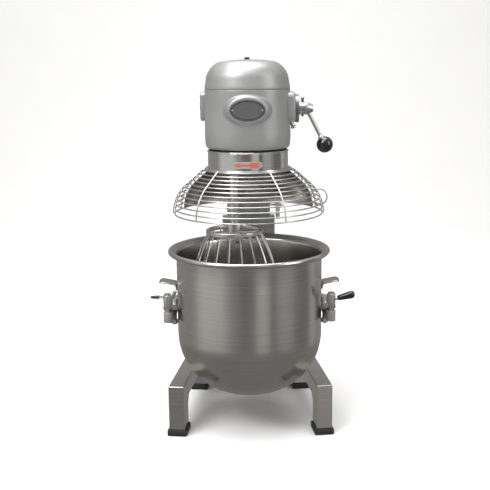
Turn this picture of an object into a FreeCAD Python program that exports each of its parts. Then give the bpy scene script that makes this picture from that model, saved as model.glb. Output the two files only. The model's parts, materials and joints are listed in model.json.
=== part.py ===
import FreeCAD, Part
import os
from math import acos, atan2, cos, degrees, pi, radians, sin, sqrt, tan
from FreeCAD import Vector as V

# Twenty-quart bench planetary mixer. Millimetres. The origin is on the floor under the bowl's axis,
# +Z is up, the front of the machine faces -Y and the gear-shift lever is on +X.

# Driving dimensions: the bowl, the head over it and the floor frame around it.
RIM_Z = 386.0            # top plane of the bowl's rim
BOWL_R = 156.0           # outside of the bowl's wall
BOWL_WALL = 1.5
RIM_R = 168.0            # centre line of the rolled rim
ROLL_R = 5.2
BOWL_DEPTH = 322.0
KNUCKLE_R = 134.0
CROWN_R = 195.0
LIFT = 50.0              # travel of the bowl carriage
HEAD_R = 89.5            # half width of the head
HEAD_LENGTH = 195.0      # from the planetary axis to the axis of the rounded tail
HEAD_WALL = 4.0
HEAD_BOTTOM = RIM_Z + 213.8
SEAM_Z = RIM_Z + 334.0
HEAD_TOP = RIM_Z + 394.3
BAND_R = 84.1
BAND_BOTTOM = RIM_Z + 170.0
BAND_TOP = RIM_Z + 209.4
GUARD_Z = RIM_Z + 76.8   # lowest hoop of the guard
GUARD_R = 156.4
GUARD_WIRE = 1.4
HOOPS = 12
COLUMN_W = 102.0
COLUMN_FRONT = 192.0
COLUMN_BACK = 272.0
RAIL_W = 33.5
RAIL_FRONT = -100.0
RAIL_OUTER = 172.5       # outside of the front legs
RAIL_TOP = 109.0
RAIL_BOTTOM = 73.0
RAIL_TILT = 6.7          # each side rail closes in towards the back
PAD_H = 13.0
ORBIT = 35.0             # from the planetary axis to the whisk's axis
ORBIT_DEG = 211.0
RING_TEETH, PLANET_TEETH, PLANET_MODULE = 60, 20, 1.75
MAIN_TEETH, LAY_TEETH, LAY_MODULE = 45, 15, 2.5
RACK_MODULE, RACK_PINION_TEETH = 2.5, 16
WHISK_R = 100.0
WHISK_RING_R = 57.5
WHISK_RING_Z = RIM_Z + 34.0
WHISK_LOOPS = 9
WIRE_R = 1.4
EAR_Z = RIM_Z - 132.0    # underside of the bowl's ears, top of the yoke's bosses
SHIFT_Y = 8.0
SHIFT_Z = RIM_Z + 293.5
CARRIAGE_FRONT = 177.0
CARRIAGE_TOP = RIM_Z + 38.0
CARRIAGE_BOTTOM = RIM_Z - 187.0
RACK_Z = RIM_Z - 115.0   # height of the lift shaft
GAP = 0.3                # between bodies that move past each other

AGITATOR = V(ORBIT * cos(radians(ORBIT_DEG)), ORBIT * sin(radians(ORBIT_DEG)), 0)
LAY = V(0, LAY_MODULE * (MAIN_TEETH + LAY_TEETH) / 2, 0)
MOTOR = V(0, 186, 0)
UP, RIGHT, BACK = V(0, 0, 1), V(1, 0, 0), V(0, 1, 0)


# ---- shapes that many pieces share

def box(x0, x1, y0, y1, z0, z1):
    return Part.makeBox(x1 - x0, y1 - y0, z1 - z0, V(x0, y0, z0))


def rod(r, start, end):
    return Part.makeCylinder(r, (end - start).Length, start, end - start)


def upright(r, z0, z1, at=V(0, 0, 0)):
    return Part.makeCylinder(r, z1 - z0, V(at.x, at.y, z0))


def ring(outer, inner, z0, z1, at=V(0, 0, 0)):
    return upright(outer, z0, z1, at).cut(upright(inner, z0 - 1, z1 + 1, at))


def taper(r0, r1, start, end):
    return Part.makeCone(r0, r1, (end - start).Length, start, end - start)


def prism(points, along):
    return Part.Face(Part.makePolygon(points + [points[0]])).extrude(along)


def fuse(shapes):
    return shapes[0].multiFuse(shapes[1:]).removeSplitter()


def arc3(a, b, c):
    return Part.Arc(a, b, c).toShape()


def line(a, b):
    return Part.LineSegment(a, b).toShape()


def pipe(edges, r):
    path = Part.Wire(edges)
    start = edges[0].valueAt(edges[0].FirstParameter)
    along = edges[0].tangentAt(edges[0].FirstParameter)
    section = Part.Wire(Part.makeCircle(r, start, along))
    return path.makePipeShell([section], True, True)


def polar(r, degrees_, z=0.0):
    return V(r * cos(radians(degrees_)), r * sin(radians(degrees_)), z)


def mirrored(shape):
    return shape.mirror(V(0, 0, 0), RIGHT)


def both(shape):
    return [shape, mirrored(shape)]


def hexagon(across, z0, z1, at):
    points = [at + polar(across / sqrt(3), 60 * i) + V(0, 0, z0) for i in range(6)]
    return prism(points, V(0, 0, z1 - z0))


def screw_head(r, height, base, out):
    # A pan head with a hexagon socket, standing on a face.
    head = Part.makeCylinder(r, height, base, out)
    socket = Part.makeCylinder(r * 0.45, height * 0.6, base + out * (height * 0.5), out)
    return head.cut(socket)


def save(name, shapes):
    shape = shapes[0] if len(shapes) == 1 else Part.makeCompound(shapes)
    for solid in shape.Solids:
        if not solid.isValid():
            print("not valid:", name)
    shape.exportStep("parts/" + name + ".step")


def gear_face(teeth, module, first_deg, at, z, fill=0.42):
    # Straight-flanked teeth with working backlash; first_deg is the middle of one tooth.
    pitch_r = module * teeth / 2
    root, tip = pitch_r - 1.25 * module, pitch_r + 0.8 * module
    step = 360.0 / teeth
    points = []
    for i in range(teeth):
        middle = first_deg + i * step
        for r, share in ((root, -0.36), (tip, -fill / 3.4), (tip, fill / 3.4), (root, 0.36)):
            points.append(at + polar(r, middle + share * step, z))
    return Part.Face(Part.makePolygon(points + [points[0]]))


def spur_gear(teeth, module, first_deg, at, z0, z1):
    return gear_face(teeth, module, first_deg, at, z0).extrude(V(0, 0, z1 - z0))


# ---- floor frame

LEG_DEPTH = 45.0
REAR_LEG = 176.0         # front face of the rear legs


def side_rail():
    front, leg_back, chamfer = RAIL_FRONT, RAIL_FRONT + LEG_DEPTH, 14.0
    rear_leg, rear_back, tail = REAR_LEG, REAR_LEG + 75, COLUMN_BACK + 14
    side = [
        (front, PAD_H), (leg_back, PAD_H), (leg_back, RAIL_BOTTOM - chamfer),
        (leg_back + chamfer, RAIL_BOTTOM), (rear_leg - chamfer, RAIL_BOTTOM),
        (rear_leg, RAIL_BOTTOM - chamfer), (rear_leg, PAD_H), (rear_back, PAD_H),
        (rear_back, RAIL_BOTTOM), (tail, RAIL_BOTTOM), (tail, RAIL_TOP), (front, RAIL_TOP),
    ]
    rail = prism([V(RAIL_OUTER - RAIL_W, y, z) for y, z in side], V(RAIL_W, 0, 0))
    rail.rotate(V(RAIL_OUTER, front, 0), UP, RAIL_TILT)
    return rail


def rail_inner_x(y):
    tilt = radians(RAIL_TILT)
    return RAIL_OUTER - RAIL_W / cos(tilt) - (y - RAIL_FRONT) * tan(tilt)


def foot_pad(y0, y1):
    edge = 3.9
    pad = box(RAIL_OUTER - RAIL_W - edge, RAIL_OUTER + edge, y0 - edge, y1 + edge, 0, PAD_H)
    pad = pad.makeFillet(2.0, [e for e in pad.Edges if abs(e.tangentAt(0).z) > 0.9])
    pad.rotate(V(RAIL_OUTER, RAIL_FRONT, 0), UP, RAIL_TILT)
    return pad


def cross_member():
    y0, y1 = CARRIAGE_FRONT, COLUMN_BACK + 13
    points = [V(side * rail_inner_x(y), y, RAIL_BOTTOM)
              for side, y in ((-1, y0), (1, y0), (1, y1), (-1, y1))]
    return prism(points, V(0, 0, RAIL_TOP - RAIL_BOTTOM))


def make_floor_frame():
    rail = side_rail()
    save("base_rail_right", [rail])
    save("base_rail_left", [mirrored(rail)])
    save("base_cross_member", [cross_member()])
    pads = both(foot_pad(RAIL_FRONT, RAIL_FRONT + LEG_DEPTH))
    pads += both(foot_pad(REAR_LEG, REAR_LEG + 75))
    save("rubber_feet", pads)


# ---- column and its slideways

PINION_R = RACK_MODULE * RACK_PINION_TEETH / 2
SHAFT_Y = COLUMN_FRONT + 26.0
LIFT_SHAFT_R = 8.0
BUSH_R = 11.0
HALF = COLUMN_W / 2
FLANGE_H = 12.0
WAY = 6.0                # height of the slideways on the column's front
DOOR_LOW, DOOR_HIGH = 160.0, 545.0


def column():
    wall = 6.0
    tube = box(-HALF, HALF, COLUMN_FRONT, COLUMN_BACK, RAIL_TOP, HEAD_BOTTOM)
    tube = tube.makeFillet(6.0, [e for e in tube.Edges if abs(e.tangentAt(0).z) > 0.9])
    flange = box(-70, 70, COLUMN_FRONT - 4, COLUMN_BACK + 10, RAIL_TOP, RAIL_TOP + FLANGE_H)
    hollow = box(-HALF + wall, HALF - wall, COLUMN_FRONT + wall, COLUMN_BACK - wall,
                 RAIL_TOP - 1, HEAD_BOTTOM + 1)
    rack_slot = box(-12, 12, COLUMN_FRONT - 5, COLUMN_FRONT + wall + 1, RACK_Z - 70, RACK_Z + 70)
    door = box(-35, 35, COLUMN_BACK - wall - 1, COLUMN_BACK + 1, DOOR_LOW, DOOR_HIGH)
    shaft_hole = rod(BUSH_R, V(-HALF - 1, SHAFT_Y, RACK_Z), V(HALF + 1, SHAFT_Y, RACK_Z))
    ways = both(box(20, 42, COLUMN_FRONT - WAY, COLUMN_FRONT, RAIL_TOP + 45, CARRIAGE_TOP + 75))
    return fuse([tube, flange] + ways).cut(
        Part.makeCompound([hollow, rack_slot, door, shaft_hole]))


def make_column():
    save("column", [column()])
    sheet = box(-41, 41, COLUMN_BACK, COLUMN_BACK + 2, DOOR_LOW - 6, DOOR_HIGH + 6)
    save("column_rear_cover", [sheet])
    rows = (DOOR_LOW - 2, (DOOR_LOW + DOOR_HIGH) / 2, DOOR_HIGH + 2)
    heads = [screw_head(3.2, 2.4, V(x, COLUMN_BACK + 2, z), BACK) for x in (-38, 38) for z in rows]
    bolts = [hexagon(13, RAIL_TOP + FLANGE_H, RAIL_TOP + FLANGE_H + 7, V(x, y, 0))
             for x in (-61, 61) for y in (COLUMN_FRONT + 10, COLUMN_BACK - 10)]
    save("column_fasteners", bolts + heads)


def lift_bushes():
    bushes = []
    for side in (-1, 1):
        inner, outer = side * (HALF - 8), side * (HALF + 3)
        sleeve = rod(BUSH_R, V(inner, SHAFT_Y, RACK_Z), V(outer, SHAFT_Y, RACK_Z))
        bore = rod(LIFT_SHAFT_R + 0.05, V(side * 10, SHAFT_Y, RACK_Z), V(side * 90, SHAFT_Y, RACK_Z))
        bushes.append(sleeve.cut(bore))
    return bushes


# ---- bowl lift: rack, pinion, shaft and hand crank

CRANK_DEG = 80.0         # direction of the crank at rest, from the back towards up
CRANK_LENGTH = 78.0


def rack():
    pitch_y = SHAFT_Y - PINION_R
    root, tip = pitch_y - 1.25 * RACK_MODULE, pitch_y + 0.8 * RACK_MODULE
    step = pi * RACK_MODULE
    first, count = RACK_Z - 7.5 * step, 10
    back = COLUMN_FRONT - WAY - GAP
    points = [V(-9, back, first - step / 2), V(-9, root, first - step / 2)]
    for i in range(count):
        middle = first + i * step
        for y, share in ((root, -0.30), (tip, -0.13), (tip, 0.13), (root, 0.30)):
            points.append(V(-9, y, middle + share * step))
    top = first + (count - 0.5) * step
    points += [V(-9, root, top), V(-9, back, top)]
    return prism(points, V(18, 0, 0))


def rack_pinion():
    # A gap between two teeth meets the rack's tooth at the front of the pinion.
    gear = spur_gear(RACK_PINION_TEETH, RACK_MODULE, 0, V(0, 0, 0), -8, 8)
    gear.rotate(V(0, 0, 0), BACK, 90)
    gear.translate(V(0, SHAFT_Y, RACK_Z))
    return gear


def crank_end(x):
    swing = V(0, cos(radians(CRANK_DEG)), sin(radians(CRANK_DEG)))
    return V(x, SHAFT_Y, RACK_Z) + swing * CRANK_LENGTH


def make_bowl_lift():
    shaft = rod(LIFT_SHAFT_R, V(-62, SHAFT_Y, RACK_Z), V(90, SHAFT_Y, RACK_Z))
    save("lift_pinion_shaft", [fuse([rack_pinion(), shaft])])
    hub = rod(14, V(74, SHAFT_Y, RACK_Z), V(92, SHAFT_Y, RACK_Z))
    arm = rod(6, V(83, SHAFT_Y, RACK_Z), crank_end(83))
    eye = rod(9, crank_end(76), crank_end(90))
    crank = fuse([hub, arm, eye])
    crank = crank.cut(rod(LIFT_SHAFT_R, V(60, SHAFT_Y, RACK_Z), V(90, SHAFT_Y, RACK_Z)))
    save("lift_crank", [crank])
    grip = fuse([taper(8, 12, crank_end(91), crank_end(122)),
                 taper(12, 8, crank_end(122), crank_end(130))])
    save("lift_crank_grip", [grip])


# ---- bowl carriage and yoke

YOKE_X = 172.0
YOKE_BOTTOM = EAR_Z - 27.0
PIN_X = 164.0
POST_X, POST_Y = 174.0, -36.0
HUB_BOTTOM, HUB_TOP = EAR_Z + 7.5, RIM_Z - 95.0


def carriage():
    back = COLUMN_FRONT - WAY - GAP
    cheek = 61.0
    plate = box(-cheek, cheek, CARRIAGE_FRONT, back, CARRIAGE_BOTTOM, CARRIAGE_TOP)
    sides = both(box(HALF + 0.5, cheek, CARRIAGE_FRONT, COLUMN_FRONT + 14,
                     CARRIAGE_BOTTOM, CARRIAGE_TOP))
    return fuse([plate] + sides)


def yoke_arm():
    # A cast arm from the carriage's cheek round the bowl to a boss beside it.
    width = 20.0
    points = [
        V(61, 181, YOKE_BOTTOM), V(104, 166, YOKE_BOTTOM), V(YOKE_X - width / 2, 92, YOKE_BOTTOM),
        V(YOKE_X - width / 2, 0, YOKE_BOTTOM), V(YOKE_X + width / 2, 0, YOKE_BOTTOM),
        V(YOKE_X + width / 2, 104, YOKE_BOTTOM), V(116, 190, YOKE_BOTTOM), V(61, 205, YOKE_BOTTOM),
    ]
    arm = prism(points, V(0, 0, EAR_Z - YOKE_BOTTOM - 3))
    pin_boss = upright(13.5, YOKE_BOTTOM, EAR_Z, V(YOKE_X, 0, 0))
    post_boss = upright(10.0, YOKE_BOTTOM + 4, EAR_Z, V(POST_X, POST_Y, 0))
    web = box(POST_X - 8, POST_X + 7, POST_Y, 0, YOKE_BOTTOM + 4, EAR_Z)
    pin_hole = upright(4.5, YOKE_BOTTOM - 1, EAR_Z + 1, V(PIN_X, 0, 0))
    post_hole = upright(4.5, YOKE_BOTTOM - 1, EAR_Z + 1, V(POST_X, POST_Y, 0))
    return fuse([arm, pin_boss, post_boss, web]).cut(Part.makeCompound([pin_hole, post_hole]))


def locating_pin():
    stem = upright(4.5, EAR_Z - 38, EAR_Z + 7, V(PIN_X, 0, 0))
    tip = taper(4.5, 2.5, V(PIN_X, 0, EAR_Z + 7), V(PIN_X, 0, EAR_Z + 11))
    return fuse([stem, tip])


def pin_nut():
    nut = hexagon(13, YOKE_BOTTOM - 9, YOKE_BOTTOM, V(PIN_X, 0, 0))
    return nut.cut(upright(4.5, YOKE_BOTTOM - 10, YOKE_BOTTOM + 1, V(PIN_X, 0, 0)))


def latch_post():
    stem = upright(4.5, YOKE_BOTTOM + 4, HUB_TOP + 0.5, V(POST_X, POST_Y, 0))
    cap = upright(7.0, HUB_TOP + 0.5, HUB_TOP + 3, V(POST_X, POST_Y, 0))
    return fuse([stem, cap])


def make_carriage():
    save("bowl_carriage", [carriage(), rack()])
    save("yoke_arm_right", [yoke_arm()])
    save("yoke_arm_left", [mirrored(yoke_arm())])
    save("yoke_pins", both(locating_pin()) + both(pin_nut()) + both(latch_post()))


# ---- bowl latches

def latch_hub():
    post = V(POST_X, POST_Y, 0)
    hub = upright(9.5, HUB_BOTTOM, HUB_TOP, post)
    finger = box(POST_X - 17, POST_X, POST_Y - 5, POST_Y + 5, HUB_BOTTOM, HUB_BOTTOM + 8)
    return hub, finger, upright(4.55, HUB_BOTTOM - 1, HUB_TOP + 1, post)


def make_latches():
    hub, finger, bore = latch_hub()
    root = V(POST_X + 6, POST_Y, RIM_Z - 107.5)
    out = V(0.968, 0, 0.25)
    stalk = rod(3.5, root, root + out * 40)
    save("latch_lever_right", [fuse([hub, finger, stalk]).cut(bore)])
    sleeve = fuse([taper(5.4, 8.6, root + out * 8, root + out * 37.6),
                   Part.makeSphere(8.6, root + out * 37.6)])
    save("latch_grip_right", [sleeve.cut(rod(3.5, root, root + out * 40))])

    blade_z = RIM_Z - 101.0
    blade_end = -POST_X - 28
    blade = prism([V(-POST_X - 4, POST_Y - 7, blade_z), V(blade_end, POST_Y - 5, blade_z),
                   V(blade_end, POST_Y + 5, blade_z), V(-POST_X - 4, POST_Y + 7, blade_z)],
                  V(0, 0, 3))
    hook_foot = V(-POST_X + 9, POST_Y, HUB_TOP - 8)
    hook = rod(4.0, hook_foot, V(-BOWL_R - 1.5, POST_Y, RIM_Z - 86))
    lever = fuse([mirrored(hub), mirrored(finger), blade, hook]).cut(mirrored(bore))
    save("latch_lever_left", [lever])
    low = blade_z - 1.2
    tip = prism([V(-POST_X - 17, POST_Y - 6.5, low), V(blade_end, POST_Y - 5.5, low),
                 V(-211.5, POST_Y, low), V(blade_end, POST_Y + 5.5, low),
                 V(-POST_X - 17, POST_Y + 6.5, low)], V(0, 0, 5.4))
    save("latch_grip_left", [tip.cut(blade)])


# ---- bowl

def bowl_profile(inset):
    # Wall, knuckle arc and crown arc, from the flared collar down to the axis.
    wall_r, knuckle, crown = BOWL_R - inset, KNUCKLE_R - inset, CROWN_R - inset
    bottom = RIM_Z - BOWL_DEPTH + inset
    crown_z = bottom + crown
    across = wall_r - knuckle
    knuckle_z = crown_z - sqrt((crown - knuckle) ** 2 - across ** 2)
    lean = atan2(crown_z - knuckle_z, across)
    join = V(across + knuckle * cos(lean), 0, knuckle_z - knuckle * sin(lean))
    middle = V(across + knuckle * cos(lean / 2), 0, knuckle_z - knuckle * sin(lean / 2))
    low = acos(join.x / crown) / 2 + pi / 4
    crown_mid = V(crown * cos(low), 0, crown_z - crown * sin(low))
    top = V(wall_r, 0, RIM_Z - 12)
    edges = [line(top, V(wall_r, 0, knuckle_z)), arc3(V(wall_r, 0, knuckle_z), middle, join),
             arc3(join, crown_mid, V(0, 0, bottom))]
    return edges, top, V(0, 0, bottom)


def bowl_shell():
    outer, outer_top, outer_low = bowl_profile(0.0)
    inner, inner_top, inner_low = bowl_profile(BOWL_WALL)
    lip_out, lip_in = V(RIM_R - 3, 0, RIM_Z - 4.5), V(RIM_R - 3.6, 0, RIM_Z - 2.8)
    loop = [line(outer_low, inner_low)] + [e for e in reversed(inner)]
    loop += [line(inner_top, lip_in), line(lip_in, lip_out), line(lip_out, outer_top)] + outer
    face = Part.Face(Part.Wire(Part.__sortEdges__(loop)))
    shell = face.revolve(V(0, 0, 0), UP, 360)
    roll = Part.makeTorus(RIM_R, ROLL_R, V(0, 0, RIM_Z - ROLL_R), UP)
    return fuse([shell, roll])


def bowl_ear():
    slot = upright(4.9, EAR_Z - 1, EAR_Z + 8, V(PIN_X, 0, 0))
    plate = box(BOWL_R - 12, 186, -25, 14, EAR_Z + GAP, EAR_Z + 5 + GAP)
    back = box(BOWL_R - 1, BOWL_R + 4, -14, 14, EAR_Z + GAP, EAR_Z + 24)
    body = upright(BOWL_R, EAR_Z - 1, EAR_Z + 40)
    return fuse([plate, back]).cut(Part.makeCompound([slot, body]))


def bowl_handle():
    # A pressed strap that leaves the wall level and rises a little at its free end.
    z = RIM_Z - 78
    points = [V(BOWL_R - 1, 0, z), V(168, 0, z + 0.6), V(186, 0, z + 4), V(194, 0, z + 3)]
    edge = Part.BSplineCurve()
    edge.interpolate(points)
    strip = edge.toShape().extrude(V(0, 0, 3))
    plate = strip.extrude(V(0, 42, 0))
    plate.translate(V(0, -21, 0))
    wall_foot = box(BOWL_R - 1, BOWL_R + 3, -18, 18, z - 12, z + 3)
    return fuse([plate, wall_foot]).cut(upright(BOWL_R, z - 20, z + 30))


def make_bowl():
    save("bowl", [bowl_shell()])
    save("bowl_ears", both(bowl_ear()))
    save("bowl_handles", both(bowl_handle()))


# ---- head housing and cover

def long_body(profile):
    # Turns half a cross-section into a head-shaped solid: round nose, straight run, round tail.
    face = Part.Face(Part.Wire(Part.__sortEdges__(profile)))
    nose = face.revolve(V(0, 0, 0), UP, -180)
    straight = face.extrude(V(0, HEAD_LENGTH, 0))
    tail = face.revolve(V(0, 0, 0), UP, 180)
    tail.translate(V(0, HEAD_LENGTH, 0))
    return fuse([nose, straight, mirrored(straight), tail])


def housing_profile(inset, z0, z1):
    r = HEAD_R - inset
    points = [V(0, 0, z0), V(r - 5, 0, z0), V(r - 1.2, 0, z0 + 5), V(r, 0, z0 + 26),
              V(r - 1, 0, z1), V(0, 0, z1)]
    return [line(a, b) for a, b in zip(points, points[1:] + points[:1])]


def cover_profile(inset, z0):
    side, top = HEAD_R - 1 - inset, HEAD_TOP - inset
    brow = V(side - 3.5, 0, SEAM_Z + 26)
    bulge = V(side - 11.5, 0, SEAM_Z + 41.5)
    shoulder = V(side - 31, 0, top - 4.3)
    crown = V((side - 31) / 2, 0, top - 1.0)
    return [line(V(0, 0, z0), V(side, 0, z0)), line(V(side, 0, z0), V(side, 0, SEAM_Z + 4)),
            line(V(side, 0, SEAM_Z + 4), brow), arc3(brow, bulge, shoulder),
            arc3(shoulder, crown, V(0, 0, top)), line(V(0, 0, top), V(0, 0, z0))]


def oval(a, b, y0, y1, z):
    disc = Part.makeCylinder(1.0, y1 - y0, V(0, y0, 0), BACK)
    stretch = FreeCAD.Matrix(a, 0, 0, 0, 0, 1, 0, 0, 0, 0, b, z)
    return disc.transformGeometry(stretch)


PLATE_Z = RIM_Z + 294.0
PLATE_A, PLATE_B = 34.7, 20.9
BOSS_FACE = -HEAD_R - 4.0
CAP_Y = 40.0


def head_housing():
    shell = long_body(housing_profile(0, HEAD_BOTTOM, SEAM_Z))
    hollow = long_body(housing_profile(HEAD_WALL, HEAD_BOTTOM + 6, SEAM_Z + 5))
    boss = oval(PLATE_A + 6, PLATE_B + 5, BOSS_FACE, -70, PLATE_Z)
    shell = fuse([shell, boss]).cut(hollow)
    main_bore = upright(24, HEAD_BOTTOM - 1, HEAD_BOTTOM + 8)
    shift_bore = rod(7.05, V(60, SHIFT_Y, SHIFT_Z), V(100, SHIFT_Y, SHIFT_Z))
    cable_bore = box(-20, 20, COLUMN_FRONT + 10, COLUMN_BACK - 10, HEAD_BOTTOM - 1, HEAD_BOTTOM + 8)
    panel_bore = box(-120, -70, 50, 125, RIM_Z + 278, RIM_Z + 318)
    return shell.cut(Part.makeCompound([main_bore, shift_bore, cable_bore, panel_bore]))


def head_cover():
    outer = long_body(cover_profile(0, SEAM_Z))
    inner = long_body(cover_profile(3.0, SEAM_Z - 1))
    return outer.cut(inner).cut(upright(3.0, HEAD_TOP - 12, HEAD_TOP + 2, V(0, CAP_Y, 0)))


def make_head():
    save("head_housing", [head_housing()])
    save("head_cover", [head_cover()])
    cap = fuse([upright(5.5, HEAD_TOP, HEAD_TOP + 5.5, V(0, CAP_Y, 0)),
                upright(3.0, HEAD_TOP - 6, HEAD_TOP, V(0, CAP_Y, 0))])
    save("oil_cap", [cap])
    plate = oval(PLATE_A, PLATE_B, BOSS_FACE - 1.2, BOSS_FACE, PLATE_Z)
    rivets = [Part.makeCylinder(1.6, 0.8, V(x, BOSS_FACE - 2.0, PLATE_Z), BACK) for x in (-30, 30)]
    save("nameplate", [plate] + rivets)
    save("head_gasket", [ring(81, 70, BAND_TOP, HEAD_BOTTOM)])
    band = fuse([ring(BAND_R, BAND_R - 2.5, BAND_BOTTOM - 3.5, BAND_TOP),
                 ring(BAND_R + 2.9, BAND_R - 1, BAND_BOTTOM - 3.5, BAND_BOTTOM - 2.3),
                 ring(BAND_R + 1.2, BAND_R - 1, BAND_TOP - 3, BAND_TOP),
                 ring(BAND_R - 1, 69, BAND_TOP - 3, BAND_TOP)])
    save("guard_band", [band])


# ---- rotation label on the band: a pale pill with a raised arrow pointing left

LABEL_Z = RIM_Z + 184.5


def wrapped(points, r0, r1):
    # An outline on the band's face, cut from a thin sleeve round the band.
    slab = prism([V(x, -BAND_R - 10, z) for x, z in points], V(0, 40, 0))
    return ring(r1, r0, LABEL_Z - 20, LABEL_Z + 20).common(slab)


def pill():
    half, end = 33.2, 7.1
    turns = [radians(a) for a in range(-90, 91, 30)]
    right = [(half - end + end * cos(a), LABEL_Z + end * sin(a)) for a in turns]
    left = [(-x, z) for x, z in reversed(right)]
    shift = -3.5
    return [(x + shift, z) for x, z in right + left]


def arrow():
    z = LABEL_Z
    return [(-30, z), (-17, z - 4.4), (-17, z - 1.6), (2, z - 1.6), (5, z - 4.6), (22, z - 4.6),
            (18, z), (22, z + 4.6), (5, z + 4.6), (2, z + 1.6), (-17, z + 1.6), (-17, z + 4.4)]


def make_label():
    save("rotation_label", [wrapped(pill(), BAND_R, BAND_R + 0.5),
                            wrapped(arrow(), BAND_R + 0.5, BAND_R + 0.9)])


# ---- safety guard: turning wire cage in front, fixed sheet behind

ARC_R = 81.5
CAGE_HALF = 112.0        # half the cage's sweep, from straight ahead
RIB_DEGREES = (-112, -85, -41, 27.5, 85, 112)
CONE_TOP = V(92.3, 0, RIM_Z + 168.6)


def guard_point(share, offset=0.0):
    # A point on the guard's side profile: an arc that rises from the lowest hoop, then a cone.
    bend = radians(50)
    centre_r = GUARD_R - ARC_R
    join_r, join_z = centre_r + ARC_R * cos(bend), GUARD_Z + ARC_R * sin(bend)
    cone = sqrt((CONE_TOP.x - join_r) ** 2 + (CONE_TOP.z - join_z) ** 2)
    run = share * (ARC_R * bend + cone)
    if run <= ARC_R * bend:
        angle = run / ARC_R
        return (centre_r + (ARC_R + offset) * cos(angle), GUARD_Z + (ARC_R + offset) * sin(angle))
    along = (run - ARC_R * bend) / cone
    return (join_r + along * (CONE_TOP.x - join_r) + offset * cos(bend),
            join_z + along * (CONE_TOP.z - join_z) + offset * sin(bend))


def guard_curve(offset, degrees_):
    places = [guard_point(s, offset) for s in (0, 0.3, 0.6086, 1)]
    low, middle, join, top = [polar(r, degrees_, z) for r, z in places]
    return [arc3(low, middle, join), line(join, top)]


def hoop(share):
    # Each hoop is made in lengths from rib to rib, as it lies on the cage.
    r, z = guard_point(share)
    lengths = []
    for a, b in zip(RIB_DEGREES, RIB_DEGREES[1:]):
        ends = [polar(r, -90 + t, z) for t in (a, (a + b) / 2, b)]
        lengths.append(pipe([arc3(*ends)], GUARD_WIRE))
    return lengths


def rear_sheet():
    thick, gap = 1.2, -3.4
    outer = guard_curve(gap, 0)
    inner = guard_curve(gap - thick, 0)
    ends = [edge.valueAt(edge.FirstParameter) for edge in (outer[0], inner[0])]
    tops = [edge.valueAt(edge.LastParameter) for edge in (outer[1], inner[1])]
    loop = outer + inner + [line(*ends), line(*tops)]
    face = Part.Face(Part.Wire(Part.__sortEdges__(loop)))
    sweep = 360 - 2 * CAGE_HALF
    sheet = face.revolve(V(0, 0, 0), UP, sweep)
    sheet.rotate(V(0, 0, 0), UP, 90 - sweep / 2)
    return sheet


def make_guard():
    hoops = [length for i in range(HOOPS) for length in hoop(i / (HOOPS - 1))]
    runner = ring(90.5, BAND_R + GAP, BAND_BOTTOM - 2, BAND_BOTTOM + 2.5)
    save("cage_hoops", hoops + [runner])
    ribs = [pipe(guard_curve(2 * GUARD_WIRE, a - 90), GUARD_WIRE) for a in RIB_DEGREES]
    loop_centre = V(150.0, 0, RIM_Z + 107.5)
    save("cage_ribs", ribs + [Part.makeTorus(17.0, GUARD_WIRE, loop_centre, BACK)])
    shelf = ring(91.5, BAND_R - 2, BAND_BOTTOM - 5.3, BAND_BOTTOM - 3.5)
    behind = prism([V(0, 0, 0), polar(200, 90 - 64), polar(260, 90), polar(200, 90 + 64)],
                   V(0, 0, 900))
    save("rear_guard_sheet", [fuse([rear_sheet(), shelf.common(behind)])])


# ---- gear shift on the right of the head

HUB_X0, HUB_X1 = 107.5, 137.0
BALL = V(162.0, SHIFT_Y, RIM_Z + 217.6)
BALL_R = 17.3
THROW = 10.0             # from the shift shaft's axis to its crank pin


def shift_cover():
    cover = box(80, 98.6, SHIFT_Y - 42, SHIFT_Y + 34, SHIFT_Z - 27, SHIFT_Z + 35)
    along = [e for e in cover.Edges if abs(e.tangentAt(0).x) > 0.9]
    cover = cover.makeFillet(14.0, along)
    outer = [e for e in cover.Edges if e.BoundBox.XMin > 98.5]
    cover = cover.makeFillet(5.0, outer)
    head = long_body(housing_profile(0, HEAD_BOTTOM, SEAM_Z))
    bore = rod(7.05, V(60, SHIFT_Y, SHIFT_Z), V(120, SHIFT_Y, SHIFT_Z))
    return cover.cut(head).cut(bore)


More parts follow.
